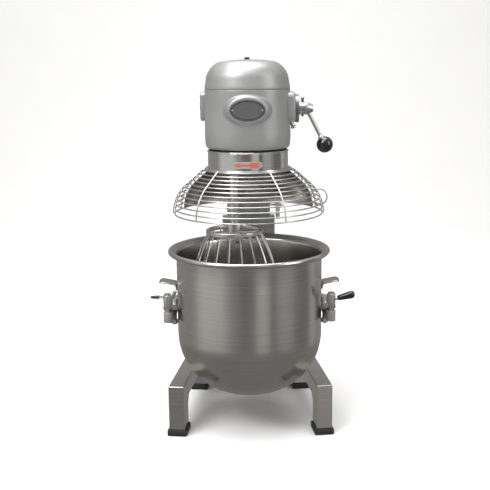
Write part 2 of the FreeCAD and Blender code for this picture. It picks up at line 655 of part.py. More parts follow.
def make_shift():
    lean = V(0.42, 0, -0.9)
    foot = V(89.5, SHIFT_Y - 14, SHIFT_Z - 24.5)
    head = long_body(housing_profile(0, HEAD_BOTTOM, SEAM_Z))
    detent = [rod(4, foot, foot + lean * 12).cut(head),
              rod(5.5, foot + lean * 12, foot + lean * 17).cut(head)]
    save("shift_cover", [shift_cover().cut(detent[0])] + detent)
    centre0, centre1 = V(98.6, SHIFT_Y, SHIFT_Z), V(107.0, SHIFT_Y, SHIFT_Z)
    dial = rod(29, centre0, centre1)
    dents = [rod(2.5, V(104.5, SHIFT_Y, SHIFT_Z) + V(0, 22 * sin(radians(a)), -22 * cos(radians(a))),
                 V(108, SHIFT_Y, SHIFT_Z) + V(0, 22 * sin(radians(a)), -22 * cos(radians(a))))
             for a in (-40, 0, 40)]
    bore = rod(7.05, V(60, SHIFT_Y, SHIFT_Z), V(120, SHIFT_Y, SHIFT_Z))
    save("shift_dial", [dial.cut(Part.makeCompound(dents + [bore]))])
    shaft = rod(7, V(62, SHIFT_Y, SHIFT_Z), V(130, SHIFT_Y, SHIFT_Z))
    throw = fuse([rod(7, V(60, SHIFT_Y, SHIFT_Z), V(66, SHIFT_Y, SHIFT_Z)),
                  box(60, 66, SHIFT_Y, SHIFT_Y + THROW, SHIFT_Z - 4, SHIFT_Z + 4),
                  rod(2, V(47, SHIFT_Y + THROW, SHIFT_Z), V(66, SHIFT_Y + THROW, SHIFT_Z))])
    save("shift_shaft", [fuse([shaft, throw])])
    start, shoulder, end = (V(x, SHIFT_Y, SHIFT_Z) for x in (HUB_X0, HUB_X1 - 13, HUB_X1))
    hub = fuse([rod(13, start, shoulder), taper(13, 7.5, shoulder, end)])
    screw_x = 115.0
    low, high = V(screw_x, SHIFT_Y, SHIFT_Z - 17), V(screw_x, SHIFT_Y, SHIFT_Z + 18)
    hub = hub.cut(rod(7, V(100, SHIFT_Y, SHIFT_Z), V(130, SHIFT_Y, SHIFT_Z)))
    lever_root = V(127, SHIFT_Y, SHIFT_Z - 8)
    lever = rod(4.0, lever_root, BALL)
    lever = lever.cut(rod(7, V(100, SHIFT_Y, SHIFT_Z), V(130, SHIFT_Y, SHIFT_Z)))
    screw = fuse([rod(2.5, V(screw_x, SHIFT_Y, SHIFT_Z + 9), high),
                  prism([high + V(0, -2, -3), high + V(4, -2, 5), high + V(2.5, -2, 6),
                         high + V(0, -2, 2), high + V(-2.5, -2, 6), high + V(-4, -2, 5)],
                        V(0, 4, 0))])
    tail = rod(2.5, low, V(screw_x, SHIFT_Y, SHIFT_Z - 9))
    hub = hub.cut(Part.makeCompound([screw, tail, lever]))
    save("shift_lever", [hub, lever])
    knob = Part.makeSphere(BALL_R, BALL)
    save("shift_knob", [knob.cut(lever)])
    save("shift_thumbscrew", [screw, tail])


# ---- control panel on the left of the head

PANEL_X = -100.0


def make_controls():
    panel = box(PANEL_X, -HEAD_R + 3, 24, 136, RIM_Z + 268, RIM_Z + 328)
    along = [e for e in panel.Edges if abs(e.tangentAt(0).x) > 0.9]
    panel = panel.makeFillet(8.0, along)
    head = long_body(housing_profile(0, HEAD_BOTTOM, SEAM_Z))
    hollow = box(PANEL_X + 2.5, -HEAD_R + 4, 30, 130, RIM_Z + 274, RIM_Z + 322)
    places = {"start": V(0, 62, RIM_Z + 298), "stop": V(0, 86, RIM_Z + 298)}
    timer = V(0, 114, RIM_Z + 298)
    holes = [rod(8.2, p + V(-110, 0, 0), p + V(-90, 0, 0)) for p in places.values()]
    holes.append(rod(4.1, timer + V(-110, 0, 0), timer + V(-90, 0, 0)))
    holes.append(rod(3.0, V(-110, 42, RIM_Z + 298), V(-90, 42, RIM_Z + 298)))
    lamp = rod(3.0, V(-101.0, 42, RIM_Z + 298), V(-94, 42, RIM_Z + 298))
    save("control_panel", [panel.cut(head).cut(Part.makeCompound([hollow] + holes)), lamp])
    start, stop = places["start"], places["stop"]
    cap = rod(7.9, start + V(-101.9, 0, 0), start + V(-92, 0, 0))
    save("start_button", [cap])
    red = fuse([rod(7.9, stop + V(-102, 0, 0), stop + V(-92, 0, 0)),
                rod(10, stop + V(-103.2, 0, 0), stop + V(-101.9, 0, 0))])
    save("stop_button", [red])
    knob = fuse([rod(11, timer + V(-103.3, 0, 0), timer + V(-100.4, 0, 0)),
                 rod(4, timer + V(-101, 0, 0), timer + V(-84, 0, 0))])
    ridge = prism([timer + V(-104.8, -1.5, 0), timer + V(-104.8, 1.5, 0),
                   timer + V(-104.8, 1.5, 11), timer + V(-104.8, -1.5, 11)], V(3, 0, 0))
    save("timer_knob", [fuse([knob, ridge])])


# ---- planetary drive under the head

MAIN_R, AGITATOR_R = 12.0, 9.0


def ring_gear():
    pitch_r = PLANET_MODULE * RING_TEETH / 2
    step = 360.0 / RING_TEETH
    points = []
    for i in range(RING_TEETH):
        gap = ORBIT_DEG + i * step
        tip, root = pitch_r - 0.8 * PLANET_MODULE, pitch_r + 1.25 * PLANET_MODULE
        for r, share in ((tip, -0.40), (root, -0.28), (root, 0.28), (tip, 0.40)):
            points.append(polar(r, gap + share * step, RIM_Z + 190))
    hole = Part.Face(Part.makePolygon(points + [points[0]])).extrude(V(0, 0, 15))
    body = upright(66, RIM_Z + 190, HEAD_BOTTOM)
    chamber = upright(58, RIM_Z + 204.9, HEAD_BOTTOM + 1)
    return body.cut(hole).cut(chamber)


def carrier():
    disc = upright(79.5, RIM_Z + 172, RIM_Z + 184)
    bearing_boss = upright(24, RIM_Z + 160, RIM_Z + 184, AGITATOR)
    centre_boss = upright(15.5, RIM_Z + 184, RIM_Z + 189)
    body = fuse([disc, bearing_boss, centre_boss])
    bore = upright(14, RIM_Z + 159, RIM_Z + 185, AGITATOR)
    return body.cut(bore).cut(upright(MAIN_R, RIM_Z + 170, RIM_Z + 200))


def make_planetary():
    save("ring_gear", [ring_gear()])
    save("planet_carrier", [carrier()])
    save("main_shaft", [upright(MAIN_R, RIM_Z + 172, RIM_Z + 330)])
    planet = spur_gear(PLANET_TEETH, PLANET_MODULE, ORBIT_DEG, AGITATOR, RIM_Z + 191, RIM_Z + 203)
    rings = [ring(14, AGITATOR_R + 0.05, RIM_Z + z, RIM_Z + z + 8, AGITATOR) for z in (165, 175)]
    seal = ring(14, AGITATOR_R + 0.2, RIM_Z + 160, RIM_Z + 165, AGITATOR)
    save("agitator_bearings", rings + [seal])
    stem = upright(AGITATOR_R, RIM_Z + 12, RIM_Z + 203, AGITATOR)
    pin = rod(2.8, AGITATOR + V(0, -15, RIM_Z + 44), AGITATOR + V(0, 15, RIM_Z + 44))
    save("agitator_shaft", [fuse([stem, planet, pin])])


# ---- gearbox and motor inside the head

BRIDGE_Z = RIM_Z + 322.0
PULLEY_Z0, PULLEY_Z1 = RIM_Z + 334.0, RIM_Z + 348.0
LAY_R, ROTOR_R = 8.0, 7.0
LAY_PULLEY_R, MOTOR_PULLEY_R = 32.0, 16.0


def pulley(r, at, bore):
    # Two flanges with the belt's vee groove between them.
    low = taper(r + 3, r - 3, V(at.x, at.y, PULLEY_Z0), V(at.x, at.y, PULLEY_Z0 + 7))
    high = taper(r - 3, r + 3, V(at.x, at.y, PULLEY_Z0 + 7), V(at.x, at.y, PULLEY_Z1))
    return fuse([low, high]).cut(upright(bore, PULLEY_Z0 - 1, PULLEY_Z1 + 1, at))


def belt():
    # A flat loop round both pulleys, just clear of their grooves.
    def loop(offset):
        lay, motor = LAY_PULLEY_R + offset, MOTOR_PULLEY_R + offset
        gap = (MOTOR - LAY).Length
        lean = degrees(acos((lay - motor) / gap))
        z = PULLEY_Z0 + 4.5
        start = LAY + polar(lay, 90 - lean, z)
        far = LAY + polar(lay, -90, z)
        end = LAY + polar(lay, 90 + lean, z)
        first = MOTOR + polar(motor, 90 + lean, z)
        back = MOTOR + polar(motor, 90, z)
        last = MOTOR + polar(motor, 90 - lean, z)
        return Part.Face(Part.Wire([arc3(start, far, end), line(end, first),
                                    arc3(first, back, last), line(last, start)]))
    outer = loop(3.4).extrude(V(0, 0, 5))
    inner = loop(0.6).extrude(V(0, 0, 5))
    return outer.cut(inner)


def make_gearbox():
    save("main_gear", [spur_gear(MAIN_TEETH, LAY_MODULE, 90, V(0, 0, 0), RIM_Z + 240, RIM_Z + 254)
                       .cut(upright(MAIN_R, RIM_Z + 230, RIM_Z + 260))])
    pinion = spur_gear(LAY_TEETH, LAY_MODULE, -90 + 12, LAY, RIM_Z + 239, RIM_Z + 255)
    save("lay_shaft", [fuse([upright(LAY_R, RIM_Z + 221, RIM_Z + 350, LAY), pinion])])
    save("lay_pulley", [pulley(LAY_PULLEY_R, LAY, LAY_R)])
    save("drive_belt", [belt()])
    save("motor_pulley", [pulley(MOTOR_PULLEY_R, MOTOR, ROTOR_R)])
    reach = 84.0
    bridge = box(-reach, reach, -15, LAY.y + 22, BRIDGE_Z, BRIDGE_Z + 6)
    bridge = bridge.common(long_body(housing_profile(HEAD_WALL, HEAD_BOTTOM + 6, SEAM_Z - 1)))
    holes = [upright(18, BRIDGE_Z - 1, BRIDGE_Z + 8), upright(14, BRIDGE_Z - 1, BRIDGE_Z + 8, LAY)]
    save("bearing_bridge", [bridge.cut(Part.makeCompound(holes))])
    bearings = [ring(18, MAIN_R + 0.05, BRIDGE_Z, BRIDGE_Z + 6),
                ring(24, MAIN_R + 0.05, HEAD_BOTTOM, HEAD_BOTTOM + 8),
                ring(14, LAY_R + 0.05, BRIDGE_Z, BRIDGE_Z + 6, LAY)]
    save("shaft_bearings", bearings + lift_bushes())
    collar = ring(17, LAY_R + 0.1, RIM_Z + 281, RIM_Z + 303, LAY)
    groove = ring(20, 13, RIM_Z + 288, RIM_Z + 296, LAY)
    save("shift_collar", [collar.cut(groove)])
    low, high = RIM_Z + 288.5, RIM_Z + 295.5
    pin_y = SHIFT_Y + THROW
    arm = fuse([box(0, 56, LAY.y - 16, LAY.y + 16, low, high),
                box(44, 56, pin_y, LAY.y + 14, low, high),
                box(44, 56, pin_y - 9, pin_y + 9, SHIFT_Z - 8, SHIFT_Z + 8)])
    slot = box(43, 57, pin_y - 5, pin_y + 4, SHIFT_Z - 2.9, SHIFT_Z + 2.9)
    throat = box(-20, 0.1, LAY.y - 30, LAY.y + 30, low - 1, high + 1)
    arm = arm.cut(Part.makeCompound([upright(13.5, low - 1, high + 1, LAY), slot, throat]))
    save("shift_fork", [arm])
    stator = ring(66, 41, RIM_Z + 224, RIM_Z + 312, MOTOR)
    ends = [ring(66, 9, RIM_Z + z, RIM_Z + z + 4, MOTOR) for z in (220, 312)]
    save("motor_stator", [fuse([stator] + ends)])
    rotor = fuse([upright(40.3, RIM_Z + 228, RIM_Z + 306, MOTOR),
                  upright(ROTOR_R, RIM_Z + 221, RIM_Z + 350, MOTOR)])
    save("motor_rotor", [rotor])


# ---- whisk

def whisk_loop(index):
    # One wire: down from the ring, round the belly, up to the ring. Each lies deeper than the last.
    belly_z = RIM_Z - 146 + 3.2 * index
    d, h = WHISK_R - WHISK_RING_R, WHISK_RING_Z - belly_z
    big = (d * d + h * h) / (2 * d)
    half = atan2(h, big - d) / 2
    side = V(WHISK_R - big + big * cos(half), 0, belly_z + big * sin(half))
    top, belly = V(WHISK_RING_R, 0, WHISK_RING_Z), V(WHISK_R, 0, belly_z)
    low = V(0, 0, belly_z - WHISK_R)
    top_2, side_2, belly_2 = (V(-p.x, 0, p.z) for p in (top, side, belly))
    edges = [arc3(top, side, belly), arc3(belly, low, belly_2), arc3(belly_2, side_2, top_2)]
    wire = pipe(edges, WIRE_R)
    wire.rotate(V(0, 0, 0), UP, 180.0 * index / WHISK_LOOPS + 2)
    wire.translate(AGITATOR)
    return wire


def make_whisk():
    top_ring = ring(WHISK_RING_R + 3, WHISK_RING_R - 3, WHISK_RING_Z, WHISK_RING_Z + 9, AGITATOR)
    hub = upright(17, RIM_Z + 14, RIM_Z + 58, AGITATOR)
    bar = box(-WHISK_RING_R, WHISK_RING_R, -7.5, 7.5, WHISK_RING_Z - 4, WHISK_RING_Z + 5)
    bar.rotate(V(0, 0, 0), UP, 12)
    bar.translate(AGITATOR)
    frame = fuse([top_ring, hub, bar])
    bore = upright(AGITATOR_R + 0.05, RIM_Z + 11, RIM_Z + 60, AGITATOR)
    slot = box(-3.2, 3.2, -20, 20, RIM_Z + 40, RIM_Z + 60)
    slot.translate(AGITATOR)
    save("whisk_frame", [frame.cut(bore).cut(slot)])
    save("whisk_wires", [whisk_loop(i) for i in range(WHISK_LOOPS)])


# ---- bowl-up sensor beside the column

def make_sensor():
    # A threaded barrel between two lock nuts, on a bracket that passes behind the carriage's cheek.
    at = V(69, COLUMN_FRONT + 4, 0)
    low, high = RIM_Z + 58, RIM_Z + 62
    barrel = upright(5, RIM_Z + 29, RIM_Z + 72, at)
    nuts = [hexagon(12, z, z + 4, at).cut(upright(5, z - 1, z + 5, at)) for z in (low - 4, high)]
    foot = box(HALF, 80, COLUMN_FRONT + 15.5, COLUMN_FRONT + 24, low, high)
    shelf = box(62.5, 80, COLUMN_FRONT - 4, COLUMN_FRONT + 24, low, high)
    bracket = fuse([foot, shelf]).cut(upright(5, low - 1, high + 1, at))
    save("bowl_sensor", [barrel, bracket] + nuts)


os.makedirs("parts", exist_ok=True)
make_floor_frame()
make_column()
make_bowl_lift()
make_carriage()
make_latches()
make_bowl()
make_head()
make_label()
make_guard()
make_shift()
make_controls()
make_planetary()
make_gearbox()
make_whisk()
make_sensor()
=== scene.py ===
import json
from math import atan2, cos, degrees, pi, radians, sin, sqrt
import bmesh
import bpy
from mathutils import Matrix, Vector


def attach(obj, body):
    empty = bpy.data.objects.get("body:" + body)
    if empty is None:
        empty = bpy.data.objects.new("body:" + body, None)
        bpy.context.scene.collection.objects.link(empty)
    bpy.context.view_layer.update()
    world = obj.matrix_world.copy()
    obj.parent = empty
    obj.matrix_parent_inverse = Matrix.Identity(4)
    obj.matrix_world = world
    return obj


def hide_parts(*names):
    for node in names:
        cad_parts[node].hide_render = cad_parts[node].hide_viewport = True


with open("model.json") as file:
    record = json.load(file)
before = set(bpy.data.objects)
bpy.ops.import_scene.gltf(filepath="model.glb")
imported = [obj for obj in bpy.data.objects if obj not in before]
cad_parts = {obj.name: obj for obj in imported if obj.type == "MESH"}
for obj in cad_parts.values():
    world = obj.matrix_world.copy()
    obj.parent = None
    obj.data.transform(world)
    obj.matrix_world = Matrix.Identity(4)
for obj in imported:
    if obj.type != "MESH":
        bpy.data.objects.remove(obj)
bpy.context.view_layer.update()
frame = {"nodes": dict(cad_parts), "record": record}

# Stand mixer with a 20-quart bowl. Sizes below are in millimetres on the frame's axes and become
# metres as each mesh is made: +Z up, the front faces -Y, the gear-shift lever is on +X.


# ---- floor frame: two side rails with their legs, rubber feet
# Square stainless tube, bent and welded. Each rail closes in towards the back.

class Tone:
    """A value or colour that varies over a surface, built up with ordinary arithmetic."""

    def __init__(self, tree, socket=None):
        self.tree, self.socket = tree, socket

    def node(self, kind, settings=None, inputs=None, out=0):
        made = self.tree.nodes.new("ShaderNode" + kind)
        for key, value in (settings or {}).items():
            setattr(made, key, value)
        for key, value in (inputs or {}).items():
            if isinstance(value, Tone):
                self.tree.links.new(value.socket, made.inputs[key])
            else:
                made.inputs[key].default_value = value
        return Tone(self.tree, made.outputs[out])

    def math(self, operation, a, b):
        return self.node("Math", {"operation": operation}, {0: a, 1: b})

    def __add__(self, other):
        return self.math("ADD", self, other)

    __radd__ = __add__

    def __sub__(self, other):
        return self.math("SUBTRACT", self, other)

    def __rsub__(self, other):
        return self.math("SUBTRACT", other, self)

    def __mul__(self, other):
        return self.math("MULTIPLY", self, other)

    __rmul__ = __mul__

    def fade(self, low, high):
        # 0 below low, 1 above high, smooth between.
        return self.node("MapRange", {"interpolation_type": "SMOOTHSTEP"},
                         {"Value": self, "From Min": low, "From Max": high})

    def colour(self, dark, light):
        # Goes from one colour to another as this value goes from 0 to 1.
        return self.node("Mix", {"data_type": "RGBA"},
                         {0: self, 6: (*dark, 1), 7: (*light, 1)}, out=2)

    def tint(self, other, share):
        # This colour with another laid over it by a share from 0 to 1.
        return self.node("Mix", {"data_type": "RGBA"}, {0: share, 6: self, 7: (*other, 1)}, out=2)

    def place(self):
        return self.node("TexCoord", out=3)

    def noise(self, scale, detail=2.0, stretch=(1, 1, 1)):
        spread = self.node("VectorMath", {"operation": "MULTIPLY"},
                           {0: self.place(), 1: stretch})
        return self.node("TexNoise", None, {"Vector": spread, "Scale": scale, "Detail": detail})

    def bump(self, strength, distance):
        return self.node("Bump", None, {"Strength": strength, "Distance": distance, "Height": self})


def finish(name, paint, **fixed):
    # Makes one material; paint takes a Tone and gives what varies, fixed is the same all over.
    made = bpy.data.materials.new(name)
    made.use_nodes = True
    tree = made.node_tree
    shader = tree.nodes["Principled BSDF"]
    for key, value in paint(Tone(tree)).items():
        tree.links.new(value.socket, shader.inputs[key.replace("_", " ")])
    for key, value in fixed.items():
        shader.inputs[key.replace("_", " ")].default_value = value
    return made


def turned(dark, light, rough, lines, depth):
    # Metal with fine lines that run round a vertical axis, as spinning and turning leave them.
    def paint(t):
        line = t.noise(1.0, 3.0, (3.0, 3.0, lines))
        cloud = t.noise(14.0, 4.0, (1.0, 1.0, 0.5))
        scratch = t.noise(60.0, 5.0, (1.0, 1.0, 6.0))
        tone = (line * 0.5 + cloud * 0.5).fade(0.32, 0.68)
        return {"Base_Color": tone.colour(dark, light),
                "Roughness": rough + cloud * 0.06 + scratch * 0.03,
                "Normal": line.bump(depth, 0.0003)}
    return paint


def worn(dark, light, rough, scale, depth):
    # A plain worked surface: cloudy tone, fine grain, the edges rubbed lighter.
    def paint(t):
        cloud = t.noise(scale, 4.0)
        grain = t.noise(scale * 22, 2.0)
        edge = t.node("NewGeometry", out=7).fade(0.52, 0.60)
        tone = (cloud * 0.7 + grain * 0.3).fade(0.3, 0.7)
        lit = tuple(min(1.0, c * 1.5 + 0.02) for c in light)
        return {"Base_Color": tone.colour(dark, light).tint(lit, edge * 0.5),
                "Roughness": rough + cloud * 0.14,
                "Normal": (grain + cloud * 0.5).bump(depth, 0.0005)}
    return paint


def piece(name, body, slot, points, faces, stands_for=(), look=None, angle=38):
    # A finished mesh in the frame: shaded smooth up to an angle, given its finish and its body.
    mesh = bpy.data.meshes.new(name)
    mesh.from_pydata([Vector(p) * 0.001 for p in points], [], faces)
    mesh.update()
    tidy = bmesh.new()
    tidy.from_mesh(mesh)
    bmesh.ops.recalc_face_normals(tidy, faces=tidy.faces)
    tidy.to_mesh(mesh)
    tidy.free()
    mesh.polygons.foreach_set("use_smooth", [True] * len(mesh.polygons))
    mesh.set_sharp_from_angle(angle=radians(angle))
    made = bpy.data.objects.new(name, mesh)
    bpy.context.scene.collection.objects.link(made)
    mesh.materials.append(FINISHES[look or slot])
    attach(made, body)
    if stands_for:
        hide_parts(*stands_for)
    return made


def skin(rings, wrap=False):
    # Faces between neighbouring rings. A ring of one point closes as a fan, other ends are capped.
    points, faces, starts = [], [], []
    for ring in rings:
        starts.append(len(points))
        points += [tuple(p) for p in ring]
    pairs = list(zip(range(len(rings)), range(1, len(rings))))
    if wrap:
        pairs.append((len(rings) - 1, 0))
    for low, high in pairs:
        a, b, n, m = starts[low], starts[high], len(rings[low]), len(rings[high])
        for i in range(max(n, m)):
            j = (i + 1) % max(n, m)
            if n == 1:
                faces.append((a, b + j, b + i))
            elif m == 1:
                faces.append((a + i, a + j, b))
            else:
                faces.append((a + i, a + j, b + j, b + i))
    if not wrap:
        if len(rings[0]) > 1:
            faces.append(tuple(reversed(range(len(rings[0])))))
        if len(rings[-1]) > 1:
            faces.append(tuple(range(starts[-1], starts[-1] + len(rings[-1]))))
    return points, faces


def join(*shapes):
    points, faces = [], []
    for more_points, more_faces in shapes:
        faces += [tuple(i + len(points) for i in face) for face in more_faces]
        points += more_points
    return points, faces


def moved(shape, matrix):
    return [tuple(matrix @ Vector(p)) for p in shape[0]], shape[1]


def mirrored(shape):
    return [(-x, y, z) for x, y, z in shape[0]], [tuple(reversed(f)) for f in shape[1]]


def rounded(x0, x1, y0, y1, r, steps=5):
    # A rectangle with rounded corners, counter-clockwise.
    corners = ((x1 - r, y0 + r, 270), (x1 - r, y1 - r, 0), (x0 + r, y1 - r, 90), (x0 + r, y0 + r, 180))
    return [(x + r * cos(radians(start + 90 * k / steps)), y + r * sin(radians(start + 90 * k / steps)))
            for x, y, start in corners for k in range(steps + 1)]


def soften(made, width, limit=40):
    # Rounds an object's hard edges and keeps its flat faces shading flat.
    edges = made.modifiers.new("edges", "BEVEL")
    edges.width, edges.segments, edges.angle_limit = width * 0.001, 3, radians(limit)
    edges.harden_normals = True
    return made


FINISHES = {}
FINISHES["steel"] = finish(
    'spun stainless', turned((0.56, 0.54, 0.52), (0.66, 0.64, 0.61), 0.2, 900.0, 0.02),
    Metallic=1.0)
FINISHES["black_rubber"] = finish(
    'moulded rubber', worn((0.01, 0.01, 0.01), (0.02, 0.02, 0.021), 0.6, 60.0, 0.25))


def tilted(shape):
    pivot = Matrix.Translation((172.5, -100, 0))
    return moved(shape, pivot @ Matrix.Rotation(radians(6.7), 4, "Z") @ pivot.inverted())


RAIL_SIDE = [(-100, 13), (-55, 13), (-55, 59), (-41, 73), (162, 73), (176, 59), (176, 13),
             (251, 13), (251, 73), (286, 73), (286, 109), (-100, 109)]


def side_rail():
    rings = [[(x, y, z) for y, z in RAIL_SIDE] for x in (139.0, 172.5)]
    return tilted(skin(rings))


soften(piece("rail_right", "frame", "steel", *side_rail(), ["base_rail_right"]), 1.5)
soften(piece("rail_left", "frame", "steel", *mirrored(side_rail()), ["base_rail_left"]), 1.5)


def foot(y0, y1):
    # A moulded pad: straight sides with a soft top edge, a shallow pull-in at the floor.
    rings = []
    for z, inset, corner in ((0, 1.2, 3), (0.8, 0.3, 3), (2.5, 0, 3), (10.5, 0, 3), (12.2, 0.5, 3),
                             (12.9, 1.6, 3), (13, 3, 3)):
        rings.append([(x, y, z) for x, y in rounded(135.1 + inset, 176.4 - inset,
                                                    y0 - 3.9 + inset, y1 + 3.9 - inset, corner)])
    return tilted(skin(rings))


feet = [foot(-100, -55), foot(176, 251)]
piece("rubber_feet_right", "frame", "black_rubber", *join(*feet), ["rubber_feet"])
piece("rubber_feet_left", "frame", "black_rubber", *join(*[mirrored(f) for f in feet]),
      ["rubber_feet"])


# ---- bowl: spun stainless shell with a flared collar and a rolled rim
# One sheet, drawn and spun, its rim rolled over a wire; ears and handles are welded on.

def circle(r, z, at=(0, 0), count=96):
    if r == 0:
        return [(at[0], at[1], z)]
    turns = [2 * pi * i / count for i in range(count)]
    return [(at[0] + r * cos(a), at[1] + r * sin(a), z) for a in turns]


def lathe(profile, at=(0, 0), count=96, wrap=False):
    return skin([circle(r, z, at, count) for r, z in profile], wrap)


def block(x0, x1, y0, y1, z0, z1, corner, edge):
    # A box with rounded upright corners and rounded top and bottom edges.
    rings = []
    for rise, inset in ((0, edge), (0.29 * edge, 0.29 * edge), (edge, 0)):
        rings.append([(x, y, z0 + rise) for x, y in
                      rounded(x0 + inset, x1 - inset, y0 + inset, y1 - inset, corner)])
    for rise, inset in ((edge, 0), (0.29 * edge, 0.29 * edge), (0, edge)):
        rings.append([(x, y, z1 - rise) for x, y in
                      rounded(x0 + inset, x1 - inset, y0 + inset, y1 - inset, corner)])
    return skin(rings)


def cut(made, *shapes):
    # Takes tool shapes out of a piece and keeps the result as its mesh.
    for shape in shapes:
        mesh = bpy.data.meshes.new("tool")
        mesh.from_pydata([Vector(p) * 0.001 for p in shape[0]], [], shape[1])
        tidy = bmesh.new()
        tidy.from_mesh(mesh)
        bmesh.ops.recalc_face_normals(tidy, faces=tidy.faces)
        tidy.to_mesh(mesh)
        tidy.free()
        tool = bpy.data.objects.new("tool", mesh)
        bpy.context.scene.collection.objects.link(tool)
        take = made.modifiers.new("take", "BOOLEAN")
        take.object, take.operation, take.solver = tool, "DIFFERENCE", "EXACT"
        bpy.context.view_layer.update()
        seen = made.evaluated_get(bpy.context.evaluated_depsgraph_get())
        result = bpy.data.meshes.new_from_object(seen)
        made.modifiers.clear()
        made.data = result
        bpy.data.objects.remove(tool)
    result.set_sharp_from_angle(angle=radians(38))
    return made


FINISHES["bright_steel"] = finish(
    'plated steel', worn((0.56, 0.56, 0.55), (0.68, 0.68, 0.67), 0.22, 40.0, 0.03),
    Metallic=1.0)

RIM = 386.0


def bowl_side(inset):
    # From the axis at the bottom up the crown, the knuckle and the wall.
    wall, knuckle, crown = 156.0 - inset, 134.0 - inset, 195.0 - inset
    bottom = RIM - 322.0 + inset
    crown_z, across = bottom + crown, wall - knuckle
    knuckle_z = crown_z - sqrt((crown - knuckle) ** 2 - across ** 2)
    lean = atan2(crown_z - knuckle_z, across)
    side = [(0, bottom)]
    for k in range(1, 15):
        a = (pi / 2 - lean) * k / 14
        side.append((crown * sin(a), crown_z - crown * cos(a)))
    for k in range(1, 21):
        a = lean * (1 - k / 20)
        side.append((across + knuckle * cos(a), knuckle_z - knuckle * sin(a)))
    return side + [(wall, knuckle_z + (RIM - 14 - knuckle_z) * k / 4) for k in range(1, 5)]


def bowl_section():
    roll_r, roll_z, wire = 168.0, RIM - 5.2, 5.2
    outer = bowl_side(0.0) + [(156.4, RIM - 11.6), (157.8, RIM - 9.9), (160.0, RIM - 8.4)]
    roll = [(roll_r + wire * cos(radians(a)), roll_z + wire * sin(radians(a)))
            for a in range(-160, 146, 15)]
    inner = [(161.6, RIM - 5.0), (159.0, RIM - 6.8), (156.6, RIM - 8.8), (155.0, RIM - 11.2)]
    return outer + roll + inner + list(reversed(bowl_side(1.5)))


piece("bowl_shell", "bowl", "steel", *lathe(bowl_section(), count=192), ["bowl"])


def strap(path, half, thick, corner):
    # A pressed strip: rounded edges, its free end rounded off in plan.
    path = [Vector((x, 0, z)) for x, z in path]
    ends = [0.0]
    for a, b in zip(path, path[1:]):
        ends.append(ends[-1] + (b - a).length)
    rings = []
    for i, p in enumerate(path):
        way = (path[min(i + 1, len(path) - 1)] - path[max(i - 1, 0)]).normalized()
        up = Vector((-way.z, 0, way.x))
        left = ends[-1] - ends[i]
        short = corner - sqrt(max(0.0, corner ** 2 - max(0.0, corner - left) ** 2))
        wide = half - short - 3.0 * min(1.0, max(0.0, (305.0 - p.z) / 4.0))
        hug = max(0.0, 1 - ends[i] / 14.0)
        ring = []
        for y, t in rounded(-wide, wide, -thick / 2, thick / 2, thick * 0.42, 3):
            q = p + up * t + Vector((0, y, 0))
            q.x -= hug * (156 - sqrt(156 ** 2 - y * y))
            ring.append(q)
        rings.append(ring)
    return skin(rings)


def smooth_path(points, steps=6):
    # A smooth line through the given points.
    full = [points[0]] + list(points) + [points[-1]]
    line = []
    for a, b, c, d in zip(full, full[1:], full[2:], full[3:]):
        for k in range(steps):
            t = k / steps
            line.append(tuple(0.5 * (2 * q + (r - p) * t + (2 * p - 5 * q + 4 * r - s) * t * t
                                     + (3 * q - p - 3 * r + s) * t ** 3)
                              for p, q, r, s in zip(a, b, c, d)))
    return line + [points[-1]]


HANDLE = smooth_path([(157.6, 296.6), (157.7, 301.5), (158.6, 306), (161.5, 308.8), (168, 310.1),
                      (178, 312.2), (186, 313.5), (190, 313.4), (193.8, 312.6)], 3)
handle = strap(HANDLE, 21.0, 3.0, 8.0)
piece("handle_right", "bowl", "steel", *handle, ["bowl_handles"])
piece("handle_left", "bowl", "steel", *mirrored(handle), ["bowl_handles"])


def ear():
    plate = block(153.5, 186, -25, 14, 254.3, 259.3, 5.0, 0.8)
    upstand = [(x, y, z) for z in (254.4, 278) for x, y in
               ((156.1, -14), (160, -14), (160, 14), (156.1, 14))]
    return plate, skin([upstand[:4], upstand[4:]])


plate, upstand = ear()
hole = lathe([(0, 250), (4.9, 250), (4.9, 264), (0, 264)], (164, 0), 32)
right_ear = piece("ear_right", "bowl", "bright_steel", *plate, ["bowl_ears"])
cut(right_ear, hole)
left_ear = piece("ear_left", "bowl", "bright_steel", *mirrored(plate), ["bowl_ears"])
cut(left_ear, mirrored(hole))
soften(piece("ear_rib_right", "bowl", "bright_steel", *upstand), 0.8)
soften(piece("ear_rib_left", "bowl", "bright_steel", *mirrored(upstand)), 0.8)


# ---- bowl lift: yoke arms of the carriage, the column and carriage keep their frame shapes
# Cast arms bolted to the carriage, with bosses for the locating pins and the latch posts.

def silver_paint(dark, light):
    # Satin enamel over a casting: a fine orange peel and a faint cloudy tone.
    def paint(t):
        cloud = t.noise(9.0, 4.0)
        grain = t.noise(900.0, 1.0)
        peel = t.noise(260.0, 2.0)
        tone = (cloud * 0.6 + grain * 0.4).fade(0.3, 0.7)
        return {"Base_Color": tone.colour(dark, light),
                "Roughness": cloud * 0.10 + grain * 0.05 + 0.36,
                "Normal": (peel + grain * 0.4).bump(0.06, 0.0003)}
    return paint


def soft_rod(r, z0, z1, edge):
    # The profile of a plain round bar with rounded ends, from pole to pole.
    low = [(r - edge + edge * sin(radians(a)), z0 + edge - edge * cos(radians(a)))
           for a in (0, 30, 60, 90)]
    high = [(x, z0 + z1 - z) for x, z in reversed(low)]
    return [(0, z0)] + low + high + [(0, z1)]


def slab(outline, z0, z1):
    return skin([[(x, y, z0) for x, y in outline], [(x, y, z1) for x, y in outline]])


FINISHES["cast_paint"] = finish(
    'silver enamel', silver_paint((0.3, 0.3, 0.3), (0.37, 0.37, 0.37)),
    Metallic=0.55, Coat_Weight=0.15, Coat_Roughness=0.25)

YOKE_LOW, YOKE_TOP, BOSS_TOP = 227, 251, 254
PIN, POST, HOLE_R = (164, 0), (174, -36), 4.5


def as_built(shape):
    return shape


